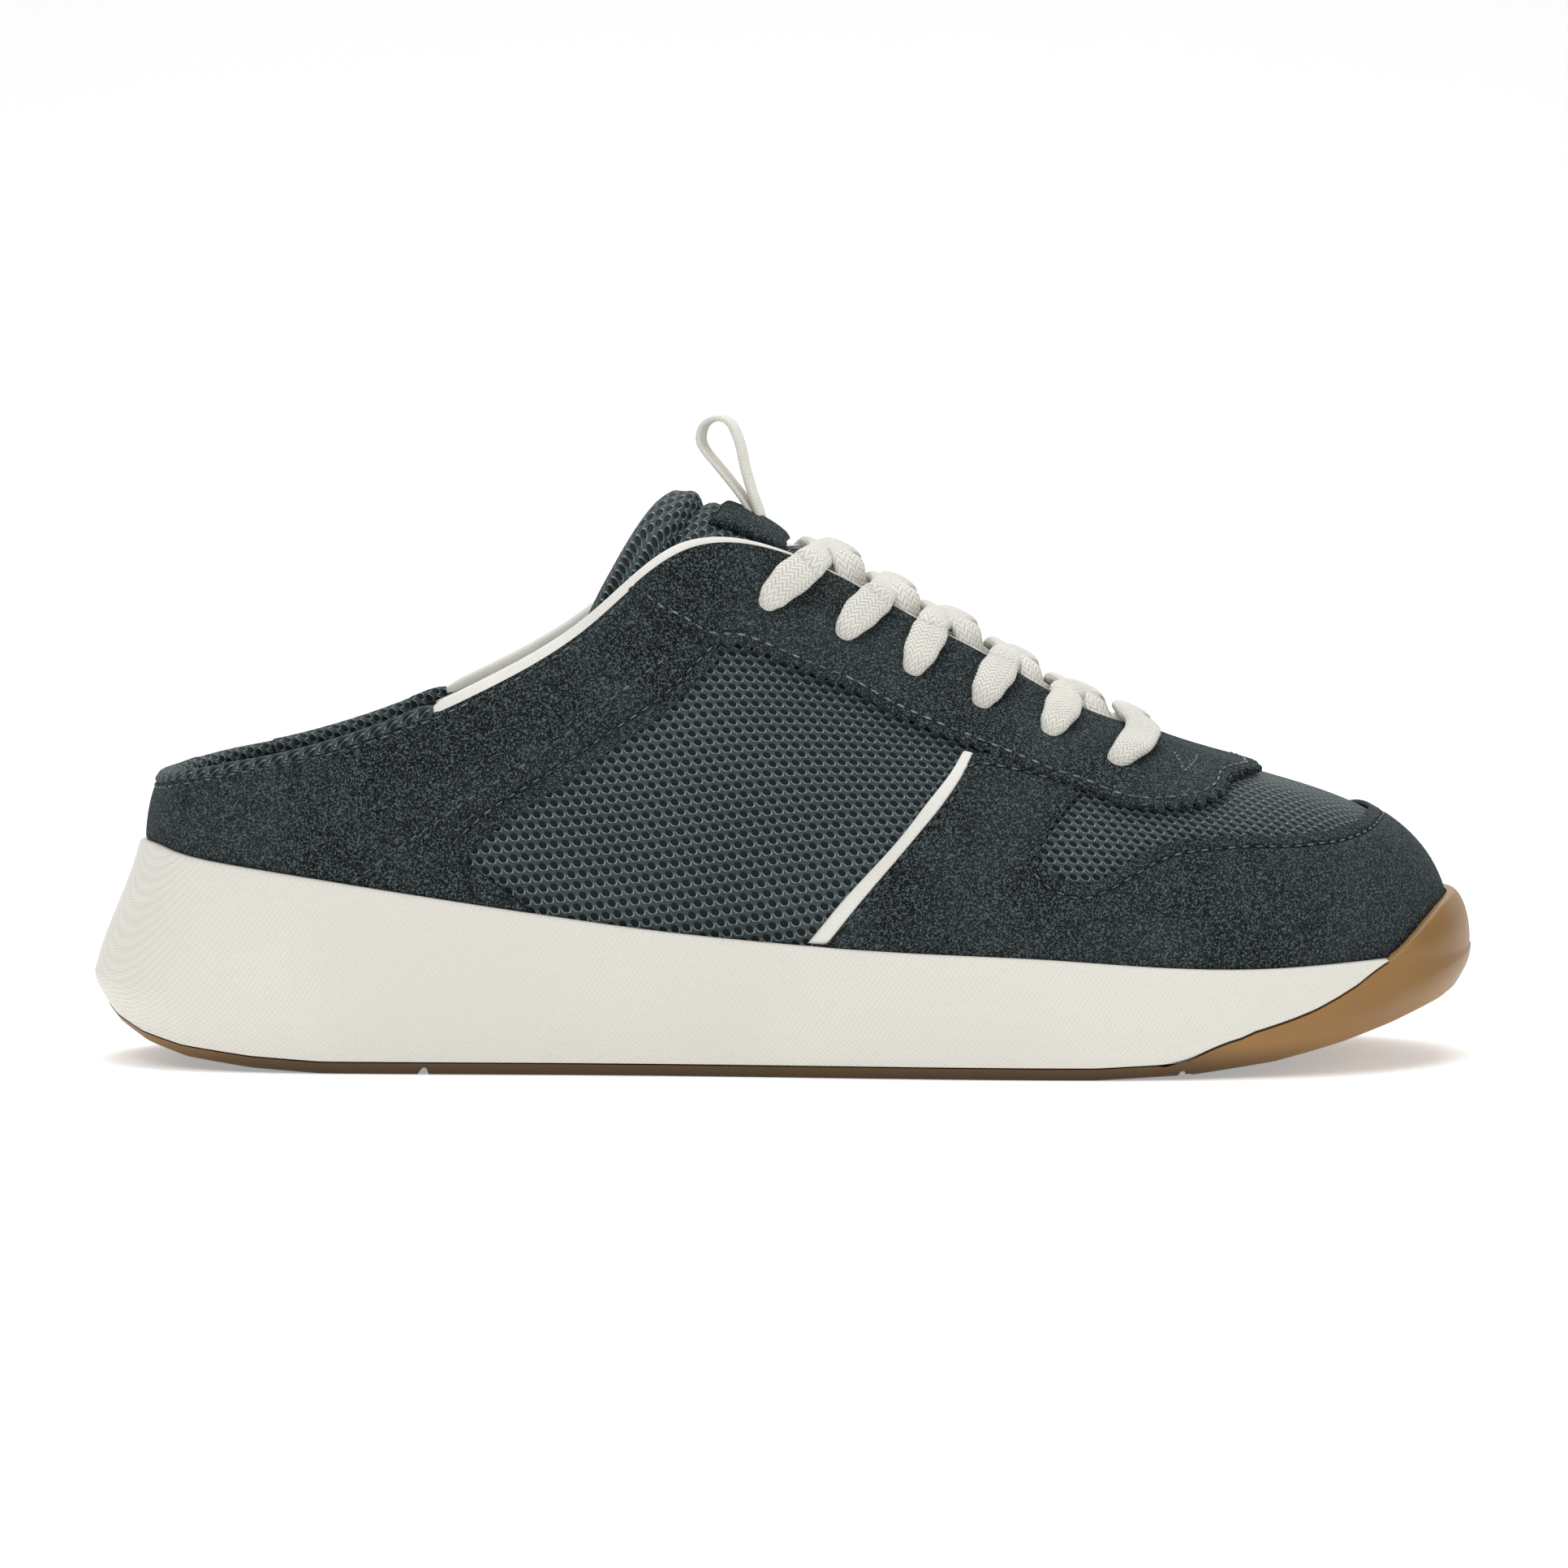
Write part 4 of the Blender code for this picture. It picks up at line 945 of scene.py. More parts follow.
@dataclass
class Tongue:
    """The padded mesh tongue, its suede patch and the pull loop on it."""

    thickness: float = 0.0036
    roll: float = 0.0088
    drop: float = 0.0052
    loop_height: float = 0.0216
    loop_width: float = 0.0072
    loop_thickness: float = 0.0012
    loop_turn: float = -0.21
    steps: int = 7
    seam_row: float = 11.0
    seam_depth: float = 0.0016
    patch_rows: tuple[float, float] = (8.5, 10.42)
    patch_columns: tuple[float, float] = (-1.25, 1.25)
    patch_grid: tuple[int, int] = (26, 40)
    throat: tuple[tuple[float, ...], ...] = (
        (.500, 0, .50), (.470, .0004, .50), (.440, .0008, .54), (.410, .0012, .68), (.380, .0015, .84),
        (.350, .0018, 1.0), (.320, .0020, 1.0), (.290, .0022, 1.0), (.265, .0024, 1.0),
    )
    top: tuple[tuple[float, ...], ...] = (
        (.4980, 1.006, .4740, .850, .55), (.4700, 1.052, .4320, .845, .72),
        (.4430, 1.077, .3930, .840, .80), (.4245, 1.096, .3620, .835, .83),
    )
    loop: tuple[tuple[float, float], ...] = (
        (.035, .00), (-.015, .02), (-.165, .24), (-.37, .49), (-.53, .68), (-.575, .80), (-.53, .94), (-.40, 1.0),
        (-.27, .95), (-.180, .76), (-.12, .50), (-.055, .28), (.01, .10),
    )

    def knots(self) -> tuple[Array, Array]:
        """The outer face's sections from the front to the top, and their thickness."""
        sections, thickness = [], []
        for place, rise, drop in self.throat:
            climbs = np.array([.82, .91, 1.0])
            left = LAST.point(np.full(3, place), climbs, -self.drop * drop)
            right = LAST.point(np.full(3, 1 - place), climbs, -self.drop * drop)
            f = np.array([.25, .5, .75])[:, None]
            arch = left[-1] + (right[-1] - left[-1]) * f
            arch = arch + np.array([0, 0, 1]) * 4 * f * (1 - f) * rise
            sections.append(np.concatenate([left, arch, right[::-1]]))
            thickness.append(self.thickness)
        turn = np.radians([-90, -68, -46, -23, 0, 23, 46, 68, 90])
        for along_, height, side_along, side_height, thick in self.top:
            centre = np.array([LENGTH * (along_ - .5), 0, COLLAR * height])
            side = np.array([LENGTH * (side_along - .5), 0, COLLAR * side_height])
            share = ((1 - np.cos(turn)) ** 0.9)[:, None]
            curve = np.concatenate([share ** 0.75, share, share ** 1.05], axis=1)
            section = centre + (side - centre) * curve
            section[:, 1] = HALF_WIDTH * .48 * np.sin(turn)
            sections.append(section)
            thickness.append(self.roll * thick)
        return np.array(sections), np.array(thickness)

    def surface(self) -> tuple[Array, Array, Array]:
        """The fine outer face, its normals and the thickness of its rows."""
        sections, thickness = self.knots()
        across = sections.shape[1]
        rows = smooth_curve(sections.reshape(len(sections), -1), self.steps).reshape(-1, across, 3)
        columns = smooth_curve(rows.transpose(1, 0, 2).reshape(across, -1), self.steps)
        fine = columns.reshape(len(columns), -1, 3).transpose(1, 0, 2)
        thick = smooth_curve(thickness[:, None], self.steps)[:, 0]
        normals = unit(np.cross(np.gradient(fine, axis=0), np.gradient(fine, axis=1)))
        normals = normals * np.where(normals[..., 2:] < 0, -1.0, 1.0)
        normals[:2] = LAST.normal(.5, .95)
        return fine, normals, thick

    def cushion(self, mesh: Material) -> Object:
        """The tongue itself, with its seam below the roll."""
        fine, normals, thick = self.surface()
        count, width = fine.shape[:2]
        half, out = thick[:, None, None] / 2, normals[-1] * thick[-1] / 2
        angles = np.arange(1, 9) / 8 * np.pi / 2
        reach = unit(fine[-1] - fine[-3]) * thick[-1] * 0.35
        tip = [fine[-1] - out + reach * np.sin(a) + out * np.cos(a) for a in angles]
        tip += [fine[-1] - out + reach * np.sin(a) - out * np.cos(a) for a in angles[-2::-1]]
        u = np.linspace(-1, 1, width)
        fat = np.sqrt(np.clip(1 - np.abs(u) ** 10, 0, 1))[None, :, None]
        row = (np.arange(count) / self.steps)[:, None, None]
        seam = np.exp(-((row - self.seam_row) / 0.13) ** 2) * self.seam_depth
        ridge = 0.0007 * np.exp(-((row - self.seam_row - 0.5) / 0.3) ** 2)
        ridge = ridge + 0.0001 * np.exp(-((row - self.seam_row + 0.4) / 0.25) ** 2)
        soft = 0.0004 * np.sin(row * 2.1) * np.sin((u + 1) * 1.5 * np.pi)[None, :, None]
        middle = fine - normals * half
        front = middle + normals * (half * fat - seam + ridge + soft)
        back = middle - normals * (half * fat - 0.5 * seam)
        tip = [np.where(fat[0] < 0.05, middle[-1], line) for line in tip]
        sheet = np.concatenate([front, tip, back[::-1]])
        sheet[0] = sheet[-1] = middle[0]
        for side in (0, -1):
            border = middle[:, side]
            sheet[:, side] = np.concatenate([border, [border[-1]] * len(tip), border[::-1]])
        work = cleaned(lattice(sheet, spread(sheet)))
        return placed("tongue_pad", work, mesh, ["tongue"], sharp=80)

    def patch(self, suede: Material) -> None:
        """The pinked suede patch on the tongue's top."""
        fine, normals, _ = self.surface()
        rows, columns = self.patch_grid
        middle = (fine.shape[1] - 1) // 2
        along_, across = np.linspace(-1, 1, rows)[:, None], np.linspace(-1, 1, columns)[None, :]
        grid_r = np.linspace(*self.patch_rows, rows)[:, None] * self.steps + 0 * across
        grid_c = np.linspace(*self.patch_columns, columns)[None, :] * self.steps + middle + 0 * along_
        grid_r = grid_r + 0.7 * saw(np.arange(columns) / 4)[None, :] * along_
        grid_c = grid_c + 0.4 * saw(np.arange(rows) / 4)[:, None] * across

        def read(values: Array) -> Array:
            """Values of the tongue's face between its rows and columns."""
            r, c = np.floor(grid_r).astype(int), np.floor(grid_c).astype(int)
            f, g = (grid_r - r)[..., None], (grid_c - c)[..., None]
            low = values[r, c] * (1 - g) + values[r, c + 1] * g
            return low * (1 - f) + (values[r + 1, c] * (1 - g) + values[r + 1, c + 1] * g) * f

        points, out = read(fine), unit(read(normals))
        edge = np.minimum(from_ends(rows)[:, None], from_ends(columns)[None, :])
        height = 0.0006 + LAYER * np.sqrt(np.clip(edge / 1.5, 0, 1))
        front, back = points + out * height[..., None], points - out * GAP
        patch = pad(front, back, spread(front))
        placed("tongue_patch_suede", patch, suede, ["tongue_patch"], sharp=80)

    def ribbon(self, cotton: Material) -> None:
        """The ribbon loop that stands on the patch."""
        sections, _ = self.knots()
        base = 0.62 * sections[10][4] + 0.38 * sections[9][4] + np.array([0, 0, 0.0010])
        turn = np.array([math.cos(self.loop_turn), math.sin(self.loop_turn)])
        outline = [base + self.loop_height * np.array([*(x * turn), z]) for x, z in self.loop]
        steps, over = 8, 3
        path = smooth_curve(np.concatenate([outline[-over:], outline, outline[:over + 1]]), steps)
        path = path[over * steps:-over * steps - 1]
        tangent = unit(np.roll(path, -1, axis=0) - np.roll(path, 1, axis=0))
        wide = np.tile([-turn[1], turn[0], 0.0], (len(path), 1))
        up = np.cross(wide, tangent)
        profile = oval(self.loop_width, self.loop_thickness, 20, 6)
        loop = swept(path, wide, up, profile, np.ones((len(path), 2)), closed=True)
        placed("pull_loop_ribbon", loop, cotton, ["pull_loop"])

    def build(self, mesh: Material, suede: Material, ribbon: Material) -> None:
        """Builds and dresses the tongue, its patch and its loop."""
        self.cushion(mesh)
        self.patch(suede)
        self.ribbon(ribbon)


@dataclass
class Lacing:
    """The flat lace: crossings over the throat, a bar in front and the eyelets it enters."""

    width: float = 0.0078
    thickness: float = 0.0031
    hole: float = 0.0024
    over_outer: float = 0.0052
    over_inner: float = 0.0036
    over_bar: float = 0.0042
    steps: int = 12

    def strand_place(self, number: float) -> float:
        """Place on the throat's edge at a share of the way between two strands."""
        return float(np.interp(number, range(len(STRAND_PLACES)), STRAND_PLACES))

    def rising(self, number: int, near: bool) -> list[tuple[Array, Array, float]]:
        """A strand from its eyelet to the throat's edge: points, directions up and swell."""
        place, climb = EYELETS[number]
        edge = self.strand_place(number)
        top = 2 * GAP + LAYER + self.thickness / 2
        made = []
        for share, reach, lift, swell in (
            (-.10, 0, -.0038, .40), (-.10, 0, -.0016, .56), (.02, 0, .0000, .82),
            (.32, 0, .0007, 1.0), (.68, 0, .0009, 1.0), (1, .0006, .0002, .88),
        ):
            at = place + (edge - place) * share
            up = climb + (1 - climb) * share + reach
            at = at if near else 1 - at
            made.append((LAST.point(at, up, top + lift), LAST.normal(at, min(up, 1.0)), swell))
        return made

    def strand(self, number: int, near: bool, over: float, bar: bool = False) -> BMesh:
        """One strand.

        Args:
            number: Its eyelet, counted from the top.
            near: Whether it starts on the outer side.
            over: How far its middle stands over the throat.
            bar: Whether it goes straight across to the eyelet opposite.

        Returns:
            The bmesh.
        """
        knots = self.rising(number, near)
        middle = self.strand_place(number + (0 if bar else .3))
        centre = (LAST.bare(middle, 1.0) + LAST.bare(1 - middle, 1.0)) / 2 + np.array([0, 0, over])
        knots.append((centre, unit(np.array([.5, 0, 1.0])), 1.0))
        if bar:
            knots += self.rising(number, not near)[::-1]
        else:
            far = self.strand_place(number + .6)
            deep = self.strand_place(number + .8)
            far, deep = (1 - far, 1 - deep) if near else (far, deep)
            knots.append((LAST.point(far, 1.0062, .0020), LAST.normal(far, 1.0), .95))
            knots.append((LAST.point(deep, .985, -.0036), LAST.normal(deep, .985), .85))
        path = smooth_curve(np.array([k[0] for k in knots]), self.steps)
        ups = smooth_curve(np.array([k[1] for k in knots]), self.steps)
        swell = smooth_curve(np.array([[k[2]] for k in knots]), self.steps)[:, 0]
        tangent = unit(np.gradient(path, axis=0))
        wide = unit(np.cross(tangent, ups))
        up = np.cross(wide, tangent)
        close = rounded(from_ends(len(path)) / 5, 0.05)
        wobble = 1 + 0.03 * np.sin(np.arange(len(path)) * 0.37 + number * 1.7)
        thick = (0.7 + 0.3 / np.maximum(swell, .5)) * close
        scale = np.stack([swell * close * wobble, thick], axis=-1)
        return swept(path, wide, up, oval(self.width, self.thickness, 20, 2.3), scale)

    def eyelets(self, dark: Material) -> None:
        """The punched holes, as shallow cups under the strands, painted near-black as shade."""
        parts = []
        for place, climb in EYELETS:
            for at in (place, 1 - place):
                out = LAST.normal(at, climb)
                centre = on_upper(np.array([at]), np.array([climb]), GAP + LAYER + 0.00012)[0]
                side = unit(np.cross(out, [0, 0, 1.0]))
                matrix = turned(side, np.cross(out, side), out, centre)
                work = bmesh.new()
                bmesh.ops.create_cone(work, cap_ends=True, segments=20, radius1=self.hole,
                                      radius2=self.hole * 0.92, depth=0.0005, matrix=matrix)
                up = matrix.col[2].xyz
                caps = [f for f in work.faces if len(f.verts) > 4 and f.normal.dot(up) > .5]
                bmesh.ops.inset_region(work, faces=caps, thickness=self.hole * 0.35)
                bmesh.ops.translate(work, verts=list({v for f in caps for v in f.verts}),
                                    vec=(-out * 0.0004).tolist())
                parts.append(work)
        placed("eyelet_holes", joined(parts), dark)

    def build(self, cotton: Material, dark: Material) -> None:
        """Builds and dresses the strands and the eyelets."""
        last = len(EYELETS) - 1
        for i in range(last):
            outer, inner = self.strand(i, True, self.over_outer), self.strand(i, False, self.over_inner)
            nodes = [f"lace_crossing_{i + 1}"]
            placed(f"lace_{i + 1}_outer", outer, cotton, nodes, sharp=80)
            placed(f"lace_{i + 1}_inner", inner, cotton, sharp=80)
        bar = self.strand(last, True, self.over_bar, bar=True)
        placed("lace_front_bar", bar, cotton, ["lace_bar"], sharp=80)
        self.eyelets(dark)


@dataclass
class Inside:
    """The foot bed and the padded linings."""

    bed: float = 0.0050
    pad_depth: float = 0.0040
    ribs: float = 0.0019
    first: float = .1480
    last: float = .2210
    low: float = .50
    high: float = .985
    rows: int = 120
    columns: int = 60

    def foot_bed(self, cloth: Material) -> None:
        """The foot bed in the cup."""
        def rows(places: Array) -> list[Array]:
            """Rows of one side, from its underside to its crown."""
            foot = LAST.bare(places, 0.0)
            depth = foot[:, 2] - LAST.cup_floor(foot[:, 0]) - GAP
            top = np.minimum(-1 + self.bed / depth, -0.12)
            gap = -WALL - GAP
            made = [LAST.point(places, -1 + f * (top + 1), gap) for f in (0, .3, .6, .8)]
            made.append(LAST.point(places, -1 + 0.93 * (top + 1), gap - .0004))
            made.append(LAST.point(places, top, gap - .0014))
            made.append(LAST.point(places, top, gap - .0030))
            return made

        sections = Sole(stations=150, across=24).loops(rows)
        uv = np.concatenate([sections, sections[:, :1]], axis=1)[..., :2]
        obj = placed("foot_bed", wrapped(sections, uv), cloth, ["insole"])

    def lining(self, name: str, node: str, turn: Callable[[Array], Array], cloth: Material) -> None:
        """A padded knit lining with soft ribs along it.

        Args:
            name: The piece's name.
            node: The CAD node that it stands for.
            turn: Gives the place on its own side.
            cloth: Its material.
        """
        grid_u, grid_v = np.meshgrid(np.linspace(0, 1, self.columns), np.linspace(0, 1, self.rows))
        skew = (1 - grid_v) * 0.012
        places = self.first + (self.last - self.first) * grid_u + skew * (0.5 - grid_u)
        climbs = self.low + (self.high - self.low) * grid_v
        swell = np.sqrt((1 - np.abs(2 * grid_u - 1) ** 4) * (1 - np.abs(2 * grid_v - 1) ** 4))
        height = (self.high - self.low) * 0.058
        ridges = 0.00028 * np.abs(np.sin(np.pi * grid_v * height / self.ribs))
        ridges = ridges * np.minimum(swell * 2, 1)
        depth = (0.12 + 0.88 * swell) * self.pad_depth - 0.0003 + ridges
        front = LAST.point(turn(places), climbs, -WALL - GAP - depth)
        back = LAST.point(turn(places), climbs, -WALL + 0.0001)
        obj = placed(name, pad(front, back, spread(front)), cloth, [node])

    def build(self, bed: Material, knit: Material) -> None:
        """Builds and dresses the foot bed and both linings."""
        self.foot_bed(bed)
        self.lining("lining_pad_outer", "lining_lateral", lambda p: p, knit)
        self.lining("lining_pad_inner", "lining_medial", lambda p: 1 - p, knit)


class Graph:
    """Adds and links nodes in one shader tree."""

    def __init__(self, tree: Tree) -> None:
        """Keeps the tree."""
        self.tree = tree

    def add(self, kind: str, **settings: object) -> Node:
        """A new node with its settings."""
        node = self.tree.nodes.new(kind)
        for name, value in settings.items():
            setattr(node, name, value)
        return node

    def feed(self, socket: Socket, value: object) -> None:
        """Links a socket into another, or sets its value."""
        if isinstance(value, Socket):
            self.tree.links.new(value, socket)
        else:
            socket.default_value = value

    def filled(self, kind: str, values: dict[str, object], **settings: object) -> Node:
        """A new node with its settings, its inputs fed by name."""
        node = self.add(kind, **settings)
        for name, value in values.items():
            self.feed(node.inputs[name], value)
        return node

    def math(self, operation: str, *values: object) -> Socket:
        """The result of a Math node."""
        node = self.add("ShaderNodeMath", operation=operation)
        for socket, value in zip(node.inputs, values):
            self.feed(socket, value)
        return node.outputs[0]

    def times(self, a: object, b: object) -> Socket:
        """The product of two values."""
        return self.math("MULTIPLY", a, b)

    def less(self, a: object, b: object) -> Socket:
        """The first value less the second."""
        return self.math("SUBTRACT", a, b)

    def smooth(self, value: object, low: float, high: float) -> Socket:
        """0 under low, 1 over high, smooth between."""
        values = {"Value": value, "From Min": low, "From Max": high}
        node = self.filled("ShaderNodeMapRange", values, interpolation_type="SMOOTHSTEP")
        return node.outputs["Result"]

    def mix(self, factor: object, a: object, b: object) -> Socket:
        """A mix of two colours."""
        node = self.add("ShaderNodeMix", data_type="RGBA")
        for socket, value in ((0, factor), (6, a), (7, b)):
            self.feed(node.inputs[socket], value)
        return node.outputs[2]

    def noise(self, vector: object, scale: object, detail: float, rough: float = 0.5,
              bend: float = 0.0) -> Socket:
        """A noise value, its pattern distorted by bend."""
        values = {"Vector": vector, "Scale": scale, "Detail": detail, "Roughness": rough,
                  "Distortion": bend}
        return self.filled("ShaderNodeTexNoise", values).outputs["Fac"]

    def axes(self, vector: object) -> bpy.types.NodeOutputs:
        """The X, Y and Z of a vector."""
        return self.filled("ShaderNodeSeparateXYZ", {"Vector": vector}).outputs

    def where(self) -> Socket:
        """The piece's own coordinates."""
        return self.add("ShaderNodeTexCoord").outputs["Object"]

    def flat(self) -> Socket:
        """The cloth's flat coordinates, in metres."""
        return self.add("ShaderNodeUVMap", uv_map="flat").outputs["UV"]

    def group(self, tree: Tree, **values: object) -> bpy.types.NodeOutputs:
        """The outputs of a group node, its inputs fed by name."""
        named = {name.replace("_", " ").title(): value for name, value in values.items()}
        return self.filled("ShaderNodeGroup", named, node_tree=tree).outputs


def new_group(name: str, inputs: dict[str, object],
              outputs: Sequence[str]) -> tuple[Graph, bpy.types.NodeOutputs, bpy.types.NodeInputs]:
    """A shader group with named inputs and outputs.

    Args:
        name: The group's name.
        inputs: Default of each input; None makes a vector.
        outputs: Names of its value outputs.

    Returns:
        The group's graph, the sockets that give its inputs and those that take its outputs.
    """
    tree = bpy.data.node_groups.new(name, "ShaderNodeTree")
    for label, value in inputs.items():
        kind = "NodeSocketVector" if value is None else "NodeSocketFloat"
        socket = tree.interface.new_socket(label, in_out="INPUT", socket_type=kind)
        if value is not None:
            socket.default_value = value
    for label in outputs:
        tree.interface.new_socket(label, in_out="OUTPUT", socket_type="NodeSocketFloat")
    graph = Graph(tree)
    return graph, graph.add("NodeGroupInput").outputs, graph.add("NodeGroupOutput").inputs


def nap_group() -> Tree:
    """Suede nap: brushed patches, fine flecks and their height."""
    inputs = {"Vector": None, "Patch Scale": 38.0, "Fleck Scale": 2500.0}
    g, given, made = new_group("nap", inputs, ("Patch", "Fleck", "Height"))
    patch = g.noise(given["Vector"], given["Patch Scale"], 4.0, bend=0.6)
    fleck = g.noise(given["Vector"], given["Fleck Scale"], 1.5, bend=0.9)
    fine = g.noise(given["Vector"], 900.0, 2.0, rough=0.55)
    g.feed(made["Patch"], g.smooth(patch, 0.34, 0.68))
    g.feed(made["Fleck"], g.smooth(fleck, 0.48, 0.64))
    g.feed(made["Height"], g.math("MULTIPLY_ADD", fleck, 0.6, g.times(fine, 0.4)))
    return g.tree


def netting_group() -> Tree:
    """Knitted mesh: staggered holes under small arched threads, from flat coordinates in metres."""
    inputs = {"Vector": None, "Cell Width": 0.00245, "Cell Height": 0.00185}
    g, given, made = new_group("netting", inputs, ("Hole", "Highlight", "Height"))
    flat = g.axes(given["Vector"])
    rows = g.math("DIVIDE", flat["Y"], given["Cell Height"])
    shift = g.times(g.math("MODULO", g.math("ABSOLUTE", g.math("FLOOR", rows)), 2.0), 0.5)
    columns = g.math("ADD", g.math("DIVIDE", flat["X"], given["Cell Width"]), shift)
    x, y = g.less(g.math("FRACT", columns), 0.5), g.less(g.math("FRACT", rows), 0.44)
    squares = []
    for value, half in ((g.math("MULTIPLY_ADD", y, 0.35, x), 0.33), (y, 0.37)):
        squares.append(g.math("POWER", g.math("ABSOLUTE", g.math("DIVIDE", value, half)), 2.0))
    radius = g.math("SQRT", g.math("ADD", *squares))
    hole = g.less(1.0, g.smooth(radius, 0.70, 1.05))
    ring = g.times(g.smooth(radius, 0.95, 1.2), g.less(1.0, g.smooth(radius, 1.25, 1.62)))
    # The arc below each hole: the thread's relief, and the mask of its painted highlight.
    arc = g.times(ring, g.smooth(g.less(0.06, y), -0.10, 0.22))
    g.feed(made["Hole"], hole)
    g.feed(made["Highlight"], arc)
    g.feed(made["Height"], g.math("ADD", g.times(arc, 0.45), g.less(0.55, g.times(hole, 0.55))))
    return g.tree


def braid_group() -> Tree:
    """Flat braid: slanted strands that mirror about the middle, from flat coordinates in metres."""
    inputs = {"Vector": None, "Cell": 0.0013, "Slant": 1.0}
    g, given, made = new_group("braid", inputs, ("Ridge", "Height"))
    flat = g.axes(given["Vector"])
    u, v = (g.math("DIVIDE", flat[axis], given["Cell"]) for axis in ("X", "Y"))
    at = g.math("ADD", v, g.times(g.math("PINGPONG", u, 1.0), given["Slant"]))
    wave, side = (g.math("ABSOLUTE", g.math("SINE", g.times(value, math.pi))) for value in (at, u))
    ridge = g.times(g.math("POWER", wave, 0.7), g.math("MULTIPLY_ADD", side, 0.35, 0.65))
    g.feed(made["Ridge"], ridge)
    g.feed(made["Height"], ridge)
    return g.tree


def mottle_group() -> Tree:
    """Broad soft variation, used for handling marks and uneven dye."""
    g, given, made = new_group("mottle", {"Vector": None, "Scale": 30.0}, ("Mask", "Fine"))
    g.feed(made["Mask"], g.smooth(g.noise(given["Vector"], given["Scale"], 3.0), 0.35, 0.68))
    g.feed(made["Fine"], g.noise(given["Vector"], 1400.0, 2.0, rough=0.55))
    return g.tree


@dataclass(frozen=True)
class Colour:
    """A linear colour."""

    red: float
    green: float
    blue: float

    def rgba(self, gain: float = 1.0) -> tuple[float, float, float, float]:
        """The colour with full alpha, made lighter or darker by gain."""
        return (self.red * gain, self.green * gain, self.blue * gain, 1.0)


WHITE = Colour(1, 1, 1)
SLATE = Colour(0.024, 0.0295, 0.031)
SLATE_FLECK = Colour(0.102, 0.129, 0.134)
SLATE_MESH = Colour(0.042, 0.057, 0.061)
# A painted highlight on the mesh's threads, and painted shade in its holes.
SLATE_THREAD_GLINT = Colour(0.270, 0.345, 0.355)
HOLE_SHADE = Colour(0.007, 0.009, 0.010)
CREAM = Colour(0.722, 0.700, 0.636)
CARAMEL = Colour(0.270, 0.145, 0.048)
ECRU = Colour(0.740, 0.725, 0.655)
TAPE = Colour(0.76, 0.75, 0.70)
KNIT = Colour(0.76, 0.74, 0.67)
BED = Colour(0.55, 0.54, 0.49)
STUDIO_GREY = Colour(0.86, 0.86, 0.86)


class Look:
    """A new material, with its graph and its shader."""

    def __init__(self, name: str, roughness: float, specular: float = 0.3, sheen: float = 0.0,
                 tint: Colour = ECRU) -> None:
        """Makes the material.

        Args:
            name: Its name.
            roughness: Its roughness.
            specular: How strongly it shines.
            sheen: Weight of its cloth sheen.
            tint: The sheen's colour.
        """
        self.material = bpy.data.materials.new(name)
        self.material.use_nodes = True
        self.graph = Graph(self.material.node_tree)
        self.shader = self.material.node_tree.nodes["Principled BSDF"]
        self.set("Roughness", roughness)
        self.set("Specular IOR Level", specular)
        self.set("Sheen Weight", sheen)
        self.set("Sheen Roughness", 0.45)
        self.set("Sheen Tint", tint.rgba())

    def set(self, name: str, value: object) -> None:
        """Links a socket to one of the shader's inputs, or sets its value."""
        self.graph.feed(self.shader.inputs[name], value)

    def bump(self, height: object, distance: float, strength: float) -> None:
        """Feeds a height into the shader's normal."""
        values = {"Height": height, "Distance": distance, "Strength": strength}
        self.set("Normal", self.graph.filled("ShaderNodeBump", values).outputs["Normal"])


